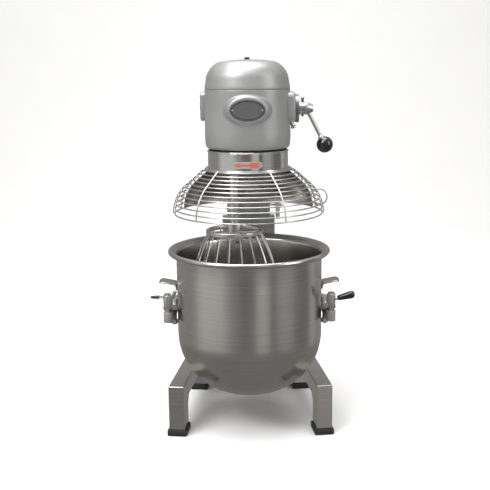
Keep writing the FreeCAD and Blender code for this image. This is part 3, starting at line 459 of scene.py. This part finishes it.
def upright_hole(r, at):
    return lathe([(0, YOKE_LOW - 7), (r, YOKE_LOW - 7), (r, BOSS_TOP + 6), (0, BOSS_TOP + 6)], at, 32)


for side, turn in (("right", as_built), ("left", mirrored)):
    outline = [(61, 181), (104, 166), (162, 92), (162, 0), (182, 0), (182, 104), (116, 190),
               (61, 205)]
    arm = piece("yoke_arm_" + side, "bowl_lift", "cast_paint", *turn(slab(outline, YOKE_LOW, YOKE_TOP)),
                ["yoke_arm_" + side])
    cut(arm, turn(upright_hole(HOLE_R, PIN)))
    soften(arm, 2.0)
    boss = piece("pin_boss_" + side, "bowl_lift", "cast_paint",
                 *turn(lathe(soft_rod(13.5, YOKE_LOW, BOSS_TOP, 1.2), (172, 0), 64)))
    cut(boss, turn(upright_hole(HOLE_R, PIN)))
    post = piece("post_boss_" + side, "bowl_lift", "cast_paint",
                 *turn(lathe(soft_rod(10, YOKE_LOW + 4, BOSS_TOP, 1.2), POST, 48)))
    cut(post, turn(upright_hole(HOLE_R, POST)))
    soften(piece("boss_web_" + side, "bowl_lift", "cast_paint",
                 *turn(block(167, 180, -30, -4, 231.2, 253.8, 0.5, 1.0))), 0.3)


# ---- bowl latches: levers on posts beside the bowl
# Right: turned steel stalk with a black tapered grip. Left: flat blade with a pointed black tip
# and a hook that rises to the bowl's wall.

def soft_ring(outer, inner, z0, z1, edge):
    # The section of a flat ring with rounded edges, as a closed profile.
    corners = ((inner + edge, z0 + edge, 180), (outer - edge, z0 + edge, 270),
               (outer - edge, z1 - edge, 0), (inner + edge, z1 - edge, 90))
    return [(r + edge * cos(radians(start + turn)), z + edge * sin(radians(start + turn)))
            for r, z, start in corners for turn in (0, 30, 60, 90)]


def aim(start, end):
    # Takes +Z onto the line from start to end, and the origin to start.
    start, end = Vector(start), Vector(end)
    return Matrix.Translation(start) @ (end - start).to_track_quat("Z", "Y").to_matrix().to_4x4()


def bar(profile, start, end, count=32, wrap=False):
    return moved(lathe(profile, count=count, wrap=wrap), aim(start, end))


FINISHES["black_plastic"] = finish(
    'gloss black plastic', worn((0.006, 0.006, 0.006), (0.011, 0.011, 0.011), 0.1, 30.0, 0.04),
    Coat_Weight=0.6, Coat_Roughness=0.05)


def latch_hub():
    hub = lathe(soft_ring(9.5, HOLE_R + 0.05, 261.5, 291.0, 0.9), POST, 48, wrap=True)
    finger = block(157.2, 168, -41, -31, 261.6, 269.4, 2.0, 0.7)
    return join(hub, finger)


OUT = Vector((0.968, 0, 0.25)).normalized()
ROOT = Vector((180, -36, 278.5))
stalk = bar(soft_rod(3.5, 0, 39, 0.8), ROOT + OUT * 2.5, ROOT + OUT * 40, 24)
piece("latch_lever_right", "latch_right", "bright_steel", *join(latch_hub(), stalk),
      ["latch_lever_right"])
grip = [(3.55, 8.0), (4.9, 8.0), (5.4, 8.7), (6.2, 16), (7.3, 26), (8.3, 35), (8.55, 38.0),
        (8.1, 40.5), (7.0, 42.6), (5.2, 44.4), (2.9, 45.6), (0, 46.0)]
piece("latch_grip_right", "latch_right", "black_plastic",
      *bar([(0, 8.0)] + grip, ROOT, ROOT + OUT * 40, 48), ["latch_grip_right"])

hook = bar(soft_rod(4.0, 0, 18.6, 0.8), (-165, -36, 283), (-157.5, -36, 300), 32)
piece("latch_lever_left", "latch_left", "bright_steel", *mirrored(latch_hub()),
      ["latch_lever_left"])
soften(piece("latch_blade_left", "latch_left", "bright_steel",
             *slab([(-182.5, -42.6), (-182.5, -29.4), (-202, -30.9), (-202, -41.1)],
                   285, 288)), 0.5)
piece("latch_hook_left", "latch_left", "bright_steel", *hook)
soften(piece("latch_tip_left", "latch_left", "black_plastic",
             *slab([(-191, -42.5), (-202, -41.5), (-211.4, -36.0), (-202, -30.5), (-191, -29.5)],
                   283.8, 289.2), ["latch_grip_left"]), 1.4)


# ---- head: cast housing with a raised oval boss, and the cover over it
# Two thin-walled castings in satin silver enamel, met at a fine dark seam.

FINISHES["plate_grey"] = finish(
    'etched plate', worn((0.095, 0.095, 0.095), (0.12, 0.12, 0.12), 0.42, 120.0, 0.08),
    Metallic=0.3)
FINISHES["plate_navy"] = finish(
    'dark plate border', worn((0.012, 0.013, 0.03), (0.022, 0.024, 0.045), 0.34, 60.0, 0.1))


def stadium(r, z, nose=160, run=16, tail=48, back=195.0):
    # The head's plan: round nose about the bowl's axis, straight sides, round tail.
    ring = [(r * cos(a), r * sin(a), z) for a in (-pi + pi * i / nose for i in range(nose + 1))]
    ring += [(r, back * i / run, z) for i in range(1, run)]
    ring += [(r * cos(a), back + r * sin(a), z) for a in (pi * i / tail for i in range(tail + 1))]
    return ring + [(-r, back * (run - i) / run, z) for i in range(1, run)]


def ease(t):
    t = min(1.0, max(0.0, t))
    return t * t * (3 - 2 * t)


def with_boss(ring):
    # Draws the front of the nose out to the flat oval face that carries the nameplate.
    out = []
    for x, y, z in ring:
        away = sqrt((x / 39.6) ** 2 + ((z - 680) / 25.0) ** 2)
        share = ease((1.26 - away) / 0.30) if y < 0 else 0.0
        out.append((x, y + (-93.5 - y) * share, z))
    return out


def housing():
    side = [(83.4, 599.9), (84.9, 600.4), (86.0, 601.5), (88.0, 604.4), (88.4, 606), (88.9, 613),
            (89.3, 620)]
    side += [(89.5 - (z - 626) * 0.0106, z) for z in [626 + 1.55 * k for k in range(60)]]
    side += [(88.5, 719.2), (88.3, 719.6), (87.7, 719.8)]
    outer = [with_boss(stadium(r, z)) for r, z in side]
    inner = [stadium(r, z) for r, z in ((84.5, 719.8), (84.8, 700), (85.4, 640), (85.2, 606.2))]
    bore = []
    for z in (606.2, 599.9):
        bore.append([(24 * cos(a), 24 * sin(a), z) for a in
                     (atan2(y, x) for x, y, _ in stadium(85, z))])
    return skin(outer + inner + bore, wrap=True)


head = piece("head_housing", "frame", "cast_paint", *housing(), ["head_housing"])
cut(head,
    bar([(0, 60), (7.1, 60), (7.1, 110), (0, 110)], (0, 8, 679.5), (1, 8, 679.5)),
    skin([[(-100, y, z) for y, z in ((50, 664), (125, 664), (125, 704), (50, 704))],
          [(-78, y, z) for y, z in ((50, 664), (125, 664), (125, 704), (50, 704))]]),
    skin([[(x, y, 595) for x, y in ((-20, 202), (20, 202), (20, 262), (-20, 262))],
          [(x, y, 612) for x, y in ((-20, 202), (20, 202), (20, 262), (-20, 262))]]))


def arc_through(a, b, c, steps):
    # Points on the circle through three points of a side view.
    ax, ay, bx, by, cx, cy = *a, *b, *c
    d = 2 * (ax * (by - cy) + bx * (cy - ay) + cx * (ay - by))
    ux = ((ax ** 2 + ay ** 2) * (by - cy) + (bx ** 2 + by ** 2) * (cy - ay)
          + (cx ** 2 + cy ** 2) * (ay - by)) / d
    uy = ((ax ** 2 + ay ** 2) * (cx - bx) + (bx ** 2 + by ** 2) * (ax - cx)
          + (cx ** 2 + cy ** 2) * (bx - ax)) / d
    r = sqrt((ax - ux) ** 2 + (ay - uy) ** 2)
    first, last = atan2(ay - uy, ax - ux), atan2(cy - uy, cx - ux)
    return [(ux + r * cos(first + (last - first) * k / steps),
             uy + r * sin(first + (last - first) * k / steps)) for k in range(steps + 1)]


def dome():
    outer = [(87.7, 720.2), (88.3, 720.4), (88.5, 720.8), (88.5, 724), (87.9, 728.5),
             (86.9, 734), (85.9, 740.5)]
    outer += arc_through((85.0, 746.0), (77.0, 761.5), (57.5, 776.0), 18)
    outer += arc_through((57.5, 776.0), (28.8, 779.3), (0.6, 780.3), 14)[1:]
    inner = [(max(r - 3.2, 0.5), z - 3.0) for r, z in reversed(outer[4:])]
    inner += [(85.0, 720.2)]
    points, faces = skin([stadium(r, z) for r, z in outer + inner])
    faces = faces[:-2]  # the end caps give way to a rim that joins the two skins
    n = len(stadium(10, 0))
    last = len(points) - n
    for i in range(n):
        j = (i + 1) % n
        faces.append((last + i, last + j, j, i))
    return points, faces


piece("head_cover", "frame", "cast_paint", *dome(), ["head_cover"])
piece("oil_cap", "frame", "black_plastic",
      *lathe(soft_rod(5.5, 780.2, 785.7, 1.4), (0, 40), 40), ["oil_cap"])
piece("head_gasket", "frame", "black_rubber",
      *lathe(soft_ring(81, 70, 595.5, 599.8, 0.8), count=128, wrap=True), ["head_gasket"])


def oval_stack(steps):
    # Rings of the nameplate's oval, each at a share of its size and a place along Y.
    rings = []
    for inset, y in steps:
        a, b = 34.7 - inset, 20.9 - inset
        rings.append([(a * cos(t), y, 680 + b * sin(t)) for t in
                      (2 * pi * k / 128 for k in range(128))])
    return skin(rings)


piece("nameplate_border", "frame", "plate_grey",
      *oval_stack(((0, -93.5), (0, -94.4), (0.3, -94.7), (3.6, -94.7), (3.9, -94.4),
                   (4.2, -93.6))), ["nameplate"], look="plate_navy")
piece("nameplate_face", "frame", "plate_grey",
      *oval_stack(((3.7, -93.52), (3.9, -94.35), (4.3, -94.45), (4.8, -94.45))), ["nameplate"])
line_ring = []
for inset, y in ((1.3, -94.6), (1.45, -94.9), (1.85, -94.9), (2.0, -94.6)):
    line_ring.append([((34.7 - inset) * cos(t), y, 680 + (20.9 - inset) * sin(t)) for t in
                      (2 * pi * k / 128 for k in range(128))])
piece("nameplate_line", "frame", "bright_steel", *skin(line_ring, wrap=True))
for side, x in (("left", -30), ("right", 30)):
    piece("nameplate_rivet_" + side, "frame", "bright_steel",
          *bar([(0, 0), (1.7, 0), (1.65, 0.4), (1.3, 0.75), (0.7, 0.95), (0, 1.0)],
               (x, -94.45, 680), (x, -95.4, 680), 24))


# ---- band and rotation label under the head
# A polished stainless ring with a lip above and below; a pale pill label with a red arrow.

FINISHES["polished"] = finish(
    'polished stainless', turned((0.66, 0.65, 0.63), (0.75, 0.74, 0.72), 0.06, 500.0, 0.01),
    Metallic=1.0)
FINISHES["label_red"] = finish(
    'red print', worn((0.38, 0.06, 0.018), (0.46, 0.08, 0.026), 0.4, 50.0, 0.05))
FINISHES["label_pale"] = finish(
    'pale label', worn((0.2, 0.19, 0.17), (0.25, 0.24, 0.22), 0.38, 50.0, 0.05))

band = [(81.6, 552.6), (84.0, 552.6), (86.6, 552.6), (87.0, 552.9), (87.0, 553.4), (86.6, 553.7),
        (84.6, 553.8), (84.15, 554.3), (84.1, 556), (84.1, 590.8), (84.2, 591.9), (84.8, 592.5),
        (85.3, 592.9), (85.3, 594.8), (84.9, 595.3), (84.2, 595.4), (70.0, 595.4), (70.0, 592.5),
        (81.6, 592.4)]
piece("guard_band", "frame", "polished", *lathe(band, count=160, wrap=True), ["guard_band"])


def strip(tops, lows, r0, r1):
    # A closed sleeve between an upper and a lower line with the same x along both.
    def at(x, z, r):
        return (x, -sqrt(r * r - x * x), 570.5 + z)
    rings = [[at(x, low, r0), at(x, low, r1), at(x, top, r1), at(x, top, r0)]
             for (x, top), (_, low) in zip(tops, lows)]
    return skin(rings)


def pill_lines():
    tops = []
    for k in range(13):
        a = pi - pi / 2 * k / 12
        tops.append((-29.6 + 7.1 * cos(a), 7.1 * sin(a) + 0.02))
    tops += [(-29.6 + 52.2 * k / 24, 7.12) for k in range(1, 24)]
    for k in range(13):
        a = pi / 2 * (1 - k / 12)
        tops.append((22.6 + 7.1 * cos(a), 7.1 * sin(a) + 0.02))
    return tops, [(x, -z) for x, z in tops]


def arrow_lines():
    tops = [(-30, 0.02), (-23.5, 2.2), (-17, 4.4), (-16.95, 1.6), (-12, 1.6), (-7, 1.6), (-2, 1.6),
            (2, 1.6), (3.5, 3.1), (5, 4.6), (9, 4.6), (14, 4.6), (18, 4.6)]
    return tops, [(x, -z) for x, z in tops]


piece("rotation_label", "frame", "label_red", *strip(*pill_lines(), 84.1, 84.55),
      ["rotation_label"], look="label_pale")
tail = [((18, 4.6), (18, 0.05)), ((20, 4.6), (20, 2.3)), ((22, 4.6), (22, 4.4))]
piece("rotation_arrow", "frame", "label_red",
      *join(strip(*arrow_lines(), 84.5, 84.95),
            strip([a for a, _ in tail], [b for _, b in tail], 84.5, 84.95),
            strip([(x, -z) for _, (x, z) in tail], [(x, -z) for (x, z), _ in tail],
                  84.5, 84.95)))


# ---- safety guard: wire cage that turns, and the fixed sheet behind it
# Bright stainless wire, welded where hoops and ribs cross; the sheet is rolled stainless.

def tube(path, r, sides=10, closed=False):
    # A wire along a path, with its section kept from twisting.
    path = [Vector(p) for p in path]
    n = len(path)
    ways = []
    for i in range(n):
        if closed:
            ways.append((path[(i + 1) % n] - path[i - 1]).normalized())
        else:
            ways.append((path[min(i + 1, n - 1)] - path[max(i - 1, 0)]).normalized())
    side = ways[0].orthogonal().normalized()
    rings = []
    for point, way in zip(path, ways):
        side = (side - way * side.dot(way)).normalized()
        other = way.cross(side)
        rings.append([point + (side * cos(a) + other * sin(a)) * r
                      for a in (2 * pi * k / sides for k in range(sides))])
    if closed:
        return skin(rings, wrap=True)
    tips = [path[0] - ways[0] * r * 0.5, path[-1] + ways[-1] * r * 0.5]
    return skin([[tips[0]]] + rings + [[tips[1]]])


GUARD_R, GUARD_Z, BEND = 156.4, 462.8, radians(50)
WIRE_R = 1.4


def guard_point(share, offset=0.0):
    # The guard's side view: an arc up from the lowest hoop, then a straight cone.
    arc_r, top_r, top_z = 81.5, 92.3, 554.6
    centre = GUARD_R - arc_r
    join_r, join_z = centre + arc_r * cos(BEND), GUARD_Z + arc_r * sin(BEND)
    cone = sqrt((top_r - join_r) ** 2 + (top_z - join_z) ** 2)
    run = share * (arc_r * BEND + cone)
    if run <= arc_r * BEND:
        a = run / arc_r
        return centre + (arc_r + offset) * cos(a), GUARD_Z + (arc_r + offset) * sin(a)
    along = (run - arc_r * BEND) / cone
    return (join_r + along * (top_r - join_r) + offset * cos(BEND),
            join_z + along * (top_z - join_z) + offset * sin(BEND))


def round_at(r, degrees_, z):
    a = radians(degrees_ - 90)
    return r * cos(a), r * sin(a), z


def hoop(share):
    r, z = guard_point(share)
    return tube([round_at(r, -112 + 224 * k / 112, z) for k in range(113)], WIRE_R)


def rib(degrees_):
    side = [guard_point(k / 40, 2.7) for k in range(41)]
    return tube([round_at(r, degrees_, z) for r, z in side], WIRE_R)


RIBS = (-112, -85, -41, 27.5, 85, 112)
HOOP_SHARES = [i / 11 for i in range(12)]
piece("cage_hoops", "guard_cage", "bright_steel", *join(*[hoop(s) for s in HOOP_SHARES]),
      ["cage_hoops"])
piece("cage_runner", "guard_cage", "bright_steel",
      *lathe(soft_ring(90.5, 84.5, 554.0, 558.4, 0.8), count=128, wrap=True))
piece("cage_ribs", "guard_cage", "bright_steel", *join(*[rib(d) for d in RIBS]), ["cage_ribs"])
loop = [(150 + 17 * cos(a), 0, 493.5 + 17 * sin(a)) for a in (2 * pi * k / 64 for k in range(64))]
piece("cage_loop", "guard_cage", "bright_steel", *tube(loop, WIRE_R, 12, True))


def weld(share, degrees_):
    # A small flat bead where a rib lies on a hoop.
    r, z = guard_point(share, 1.35)
    x, y, z = round_at(r, degrees_, z)
    return moved(lathe([(0, -1.3), (1.3, -1.0), (1.9, 0), (1.3, 1.0), (0, 1.3)], count=10),
                 Matrix.Translation((x, y, z)))


piece("cage_welds", "guard_cage", "bright_steel",
      *join(*[weld(s, d) for s in HOOP_SHARES for d in RIBS]))


def rear_sheet():
    # Rolled sheet under the wires' line, over the back of the bowl.
    rings = []
    for k in range(73):
        turn = 180 - 68 + 136 * k / 72
        outer = [guard_point(s / 24, -3.4) for s in range(25)]
        inner = [guard_point(s / 24, -4.6) for s in range(25)]
        rings.append([round_at(r, turn, z) for r, z in outer + list(reversed(inner))])
    return skin(rings)


def rear_shelf():
    rings = []
    for k in range(49):
        turn = 180 - 62 + 124 * k / 48
        rings.append([round_at(r, turn, z) for r, z in
                      ((82.2, 550.8), (91.4, 550.8), (91.4, 552.4), (82.2, 552.4))])
    return skin(rings)


piece("rear_guard_sheet", "frame", "steel", *rear_sheet(), ["rear_guard_sheet"])
piece("rear_guard_flange", "frame", "steel", *rear_shelf())


# ---- gear shift on the right of the head
# Cast cover in silver enamel, dark dial with three detents, turned steel hub, wing screw,
# steel rod and a gloss black ball.

FINISHES["iron"] = finish(
    'machined iron', worn((0.16, 0.16, 0.17), (0.24, 0.24, 0.25), 0.34, 30.0, 0.15),
    Metallic=0.9)
FINISHES["dark_metal"] = finish(
    'blackened steel', worn((0.03, 0.03, 0.032), (0.06, 0.06, 0.062), 0.3, 50.0, 0.1),
    Metallic=0.8)


def shift_cover():
    # Grows out of the head's side and rounds over to its flat face.
    rings = []
    for x, inset in ((81, 0), (93.6, 0), (95.5, 0.4), (97.2, 1.5), (98.2, 3.1), (98.6, 5)):
        rings.append([(x, y, z) for y, z in
                      rounded(-34 + inset, 42 - inset, 652.5 + inset, 714.5 - inset, 14 - inset, 8)])
    return skin(rings)


SHIFT_Y, SHIFT_Z = 8, 679.5


def on_shift(x):
    return (x, SHIFT_Y, SHIFT_Z)


shift_bore = bar([(0, -5), (7.1, -5), (7.1, 40), (0, 40)], on_shift(80), on_shift(120))
cut(piece("shift_cover", "frame", "cast_paint", *shift_cover(), ["shift_cover"]), shift_bore)
LEAN = Vector((0.42, 0, -0.9)).normalized()
DETENT = Vector((89.5, -6, 655))
piece("shift_detent", "frame", "bright_steel",
      *join(bar(soft_rod(4.0, 0, 12.2, 0.6), DETENT, DETENT + LEAN * 12, 32),
            bar(soft_rod(5.5, 0, 5.0, 1.2), DETENT + LEAN * 12, DETENT + LEAN * 17, 32)))
dial = piece("shift_dial", "frame", "dark_metal",
             *bar([(0, 0), (28.4, 0), (29, 0.6), (29, 7.4), (28.2, 8.2), (26.4, 8.35),
                   (26.1, 8.0), (19.0, 8.0), (0, 8.0)], on_shift(98.65), on_shift(107), 96),
             ["shift_dial"], look="iron")
cut(dial, shift_bore,
    *[bar([(0, 0), (1.4, 1.0), (2.4, 3.0), (2.5, 5.0), (0, 5.0)],
          (104.4, SHIFT_Y + 22 * sin(a), SHIFT_Z - 22 * cos(a)),
          (110, SHIFT_Y + 22 * sin(a), SHIFT_Z - 22 * cos(a)), 20)
      for a in (radians(-40), 0.0, radians(40))])
for index, a in enumerate((35, 145, 215, 325)):
    y, z = SHIFT_Y + 23 * cos(radians(a)), SHIFT_Z + 23 * sin(radians(a))
    piece("dial_screw_%d" % index, "frame", "bright_steel",
          *bar([(0, 0), (2.6, 0), (2.5, 0.5), (1.9, 0.9), (0, 1.1)], (106.5, y, z), (107, y, z), 20),
          look="dark_metal")

hub = [(7.05, 0), (12.5, 0), (13, 0.5), (13, 8.6), (12.2, 9.2), (12.2, 10.4), (13, 11.0),
       (13, 16.0), (12.7, 17.0), (8.2, 28.3), (7.6, 29.3), (7.05, 29.4)]
piece("shift_hub", "shift_lever", "bright_steel",
      *bar(hub, on_shift(107.6), on_shift(137), 64, wrap=True), ["shift_lever"])
BALL = Vector((162.0, 8, 603.6))
ROD = (BALL - Vector((127, 8, 671.5))).normalized()
piece("shift_rod", "shift_lever", "bright_steel",
      *bar(soft_rod(4.0, 0, 70, 0.8), Vector((127, 8, 671.5)) + ROD * 2, BALL, 32))
piece("shift_ball", "shift_lever", "black_plastic",
      *bar([(0, -17.3)] + [(17.3 * sin(radians(a)), -17.3 * cos(radians(a)))
                           for a in range(6, 180, 6)] + [(0, 17.3)], BALL, BALL + ROD, 64),
      ["shift_knob"])
piece("shift_ferrule", "shift_lever", "bright_steel",
      *bar([(4.1, 0), (6.6, 0), (6.9, 0.8), (6.3, 3.6), (5.2, 5.0), (4.1, 5.2)],
           BALL - ROD * 15.6, BALL - ROD * 22, 32, wrap=True))
wing = [(x, 8 - 2 + t, z) for t in (0, 4) for x, z in
        ((113.2, 694.6), (116.8, 694.6), (119.0, 702.3), (117.6, 703.4), (115.9, 699.8),
         (114.1, 699.8), (112.4, 703.4), (111.0, 702.3))]
soften(piece("wing_screw", "shift_lever", "dark_metal", *skin([wing[:8], wing[8:]]),
             ["shift_thumbscrew"]), 0.6)
piece("wing_screw_stem", "shift_lever", "dark_metal",
      *join(lathe(soft_rod(2.5, 688.6, 696, 0.4), (115, 8), 24),
            lathe(soft_rod(2.5, 662.6, 670.5, 0.4), (115, 8), 24)))


# ---- control panel on the left of the head
# A folded cover with a lamp, a green start button, a red mushroom stop and a timer knob.

FINISHES["button_green"] = finish(
    'green plastic', worn((0.01, 0.22, 0.05), (0.02, 0.3, 0.08), 0.24, 40.0, 0.05),
    Coat_Weight=0.3)
FINISHES["button_red"] = finish(
    'red plastic', worn((0.45, 0.012, 0.01), (0.6, 0.025, 0.018), 0.24, 40.0, 0.05),
    Coat_Weight=0.3)


def panel():
    rings = []
    for x, inset in ((-86, 0), (-97, 0), (-98.4, 0.5), (-99.1, 1.5), (-99.4, 3)):
        rings.append([(x, y, z) for y, z in
                      rounded(24 + inset, 136 - inset, 654 + inset, 714 - inset, 8 - inset, 6)])
    return skin(rings)


button_holes = [bar([(0, -5), (r, -5), (r, 20), (0, 20)], (-105, y, 684), (-86, y, 684))
                for y, r in ((62, 8.2), (86, 8.2), (114, 4.1))]
face_plate = skin([[(x, y, z) for y, z in rounded(28, 132, 658, 710, 5, 6)]
                   for x in (-99.35, -99.95)])
cut(piece("control_panel", "frame", "cast_paint", *panel(), ["control_panel"]), *button_holes)
cut(piece("panel_face", "frame", "dark_metal", *face_plate), *button_holes)
piece("panel_lamp", "frame", "button_red",
      *bar(soft_rod(3.0, 0, 5.0, 1.2), (-96, 42, 684), (-101, 42, 684), 32))
piece("start_button", "start_button", "button_green",
      *bar([(0, 0), (7.9, 0), (7.9, 8.9), (7.3, 9.6), (6.2, 9.9), (5.6, 9.5), (0, 9.3)],
           (-92, 62, 684), (-102, 62, 684), 48), ["start_button"])
piece("stop_button", "stop_button", "button_red",
      *bar([(0, 0), (7.9, 0), (7.9, 9.9), (9.7, 9.95), (10, 10.2), (10, 10.6), (9.2, 10.9),
            (6.5, 11.1), (0, 11.2)], (-92, 86, 684), (-103.2, 86, 684), 48), ["stop_button"])
knob = bar([(0, 0), (4, 0), (4, 16.4), (11, 16.4), (11, 18.4), (10.6, 19.0), (9.8, 19.3),
            (0, 19.3)], (-84, 114, 684), (-103.3, 114, 684), 48)
piece("timer_knob", "timer_knob", "black_plastic",
      *join(knob, block(-104.7, -103.25, 112.6, 115.4, 684.5, 694.6, 0.4, 0.4)), ["timer_knob"])


# ---- whisk: cast ring, bar and hub with nine staggered wire loops
# The frame is bright cast metal; the wires are spring steel, pressed into the ring.

WHISK = (35 * cos(radians(211)), 35 * sin(radians(211)))
piece("whisk_ring", "whisk", "bright_steel",
      *lathe(soft_ring(60.5, 54.5, 420, 429, 1.6), WHISK, 128, wrap=True), ["whisk_frame"])
whisk_hub = piece("whisk_hub", "whisk", "bright_steel",
                  *lathe(soft_ring(17, 9.06, 400, 444, 1.4), WHISK, 64, wrap=True))
cut(whisk_hub, moved(block(-3.2, 3.2, -22, 22, 426, 450, 0.5, 0.3),
                     Matrix.Translation((*WHISK, 0))))
turn_bar = Matrix.Translation((*WHISK, 0)) @ Matrix.Rotation(radians(12), 4, "Z")
for side, (x0, x1) in (("left", (-57.5, -13)), ("right", (13, 57.5))):
    piece("whisk_bar_" + side, "whisk", "bright_steel",
          *moved(block(x0, x1, -7.5, 7.5, 416, 425, 1.0, 1.6), turn_bar))


def whisk_loop(index):
    # Down from the ring, round the belly and up again; each loop lies deeper than the last.
    belly = RIM - 146 + 3.2 * index
    d, h = 100 - 57.5, 420 - belly
    big = (d * d + h * h) / (2 * d)
    lean = atan2(h, big - d)
    side = [(100 - big + big * cos(lean * (1 - k / 14)), belly + big * sin(lean * (1 - k / 14)))
            for k in range(15)]
    low = [(100 * cos(a), belly - 100 * sin(a)) for a in (pi * k / 40 for k in range(1, 40))]
    path = [(57.5, 423.5)] + side + low + [(-x, z) for x, z in reversed(side)] + [(-57.5, 423.5)]
    turn = Matrix.Translation((*WHISK, 0)) @ Matrix.Rotation(radians(20 * index + 2), 4, "Z")
    return tube([turn @ Vector((x, 0, z)) for x, z in path], WIRE_R, 8)


piece("whisk_wires", "whisk", "bright_steel", *join(*[whisk_loop(i) for i in range(9)]),
      ["whisk_wires"])


# ---- pieces that keep their frame shapes: column, carriage, gears, shafts, motor, fasteners
# Each takes the finish of its own material slot.

FINISHES["bronze"] = finish(
    'bearing bronze', worn((0.34, 0.2, 0.08), (0.48, 0.3, 0.13), 0.28, 40.0, 0.1),
    Metallic=1.0)

for part in frame["record"]["subparts"]:
    made = frame["nodes"][part["node"]]
    if not made.hide_render:
        made.data.materials.clear()
        made.data.materials.append(FINISHES[part["material_slot"]])


# ---- floor, light and camera
# A seamless white sheet under the machine, three soft boxes over it, white panels and black flags
# round it that the metal reflects, and a long lens at about the height of the head.

def sweep_floor():
    # A seamless pale sheet: flat floor that curves up into the backdrop.
    side = [(-6.0, 0.0), (2.2, 0.0)]
    side += [(2.2 + 1.2 * sin(a), 1.2 - 1.2 * cos(a)) for a in (pi / 2 * k / 24 for k in range(1, 25))]
    side += [(3.4, 6.0)]
    points = [(x, y, z) for y, z in side for x in (-6.0, 6.0)]
    faces = [(2 * i, 2 * i + 1, 2 * i + 3, 2 * i + 2) for i in range(len(side) - 1)]
    mesh = bpy.data.meshes.new("studio_floor")
    mesh.from_pydata(points, [], faces)
    mesh.polygons.foreach_set("use_smooth", [True] * len(faces))
    made = bpy.data.objects.new("studio_floor", mesh)
    bpy.context.scene.collection.objects.link(made)

    def paper(t):
        return {"Base_Color": t.noise(3.0).colour((0.87, 0.87, 0.87), (0.89, 0.89, 0.89)),
                "Roughness": t.noise(40.0) * 0.1 + 0.8}
    mesh.materials.append(finish("white paper", paper))
    made.visible_glossy = False


sweep_floor()


def lamp(name, place, target, size, power, colour=(1, 1, 1)):
    light = bpy.data.lights.new(name, "AREA")
    light.shape, light.size, light.size_y, light.energy = "RECTANGLE", size[0], size[1], power
    light.color = colour
    made = bpy.data.objects.new(name, light)
    made.location = place
    made.rotation_euler = (Vector(target) - Vector(place)).to_track_quat("-Z", "Y").to_euler()
    bpy.context.scene.collection.objects.link(made)


lamp("key_soft_box", (-1.5, -1.5, 2.6), (0, 0, 0.6), (1.6, 1.6), 62)
lamp("fill_soft_box", (2.4, -1.2, 1.5), (0, 0, 0.45), (1.0, 2.0), 20)
lamp("top_soft_box", (-0.2, 0.1, 3.0), (0, 0, 0.4), (2.4, 2.0), 84)

world = bpy.data.worlds.new("studio")
bpy.context.scene.world = world
world.use_nodes = True
sky = Tone(world.node_tree)
direction = sky.node("TexCoord", out=0)
height = sky.node("SeparateXYZ", None, {0: direction}, out=2)
across, depth = (sky.node("SeparateXYZ", None, {0: direction}, out=k) for k in (0, 1))
turn = sky.math("ARCTAN2", across, 0.0 - depth) * degrees(1)

# White panels and black flags that stand round the machine: where each is, in degrees from the
# front towards +X, its half width, and how much it adds to or takes from the room's light.
around = turn * 0.0 + 0.29
for place, half_width, gain in ((-62, 30, 0.30), (-4, 14, -0.11), (21, 11, 0.24), (36, 6, -0.14),
                                (56, 13, 0.08), (94, 20, -0.12), (116, 9, 0.16)):
    away = sky.math("ABSOLUTE", turn - place, 0.0)
    around = around + (1.0 - away.fade(half_width * 0.5, half_width * 1.3)) * gain
low, high = height.fade(-0.42, -0.30), height.fade(0.35, 0.62)
level = (0.21 + (around - 0.21) * low) * (1.0 - high) + high * 0.60
tone = level.colour((0, 0, 0), (1.0, 0.99, 0.965))
background = world.node_tree.nodes["Background"]
world.node_tree.links.new(tone.socket, background.inputs["Color"])
background.inputs["Strength"].default_value = 1.0

lens = bpy.data.cameras.new("camera")
lens.sensor_width, lens.lens = 36.0, 63.04
lens.shift_x = -0.0079
camera = bpy.data.objects.new("camera", lens)
camera.location = (0.0, -1.807, 0.7504)
roll = Matrix.Rotation(radians(-0.58), 3, "Z")
camera.rotation_euler = (Matrix.Rotation(radians(78.74), 3, "X") @ roll).to_euler()
bpy.context.scene.collection.objects.link(camera)
bpy.context.scene.camera = camera
bpy.context.scene.view_settings.view_transform = "Standard"
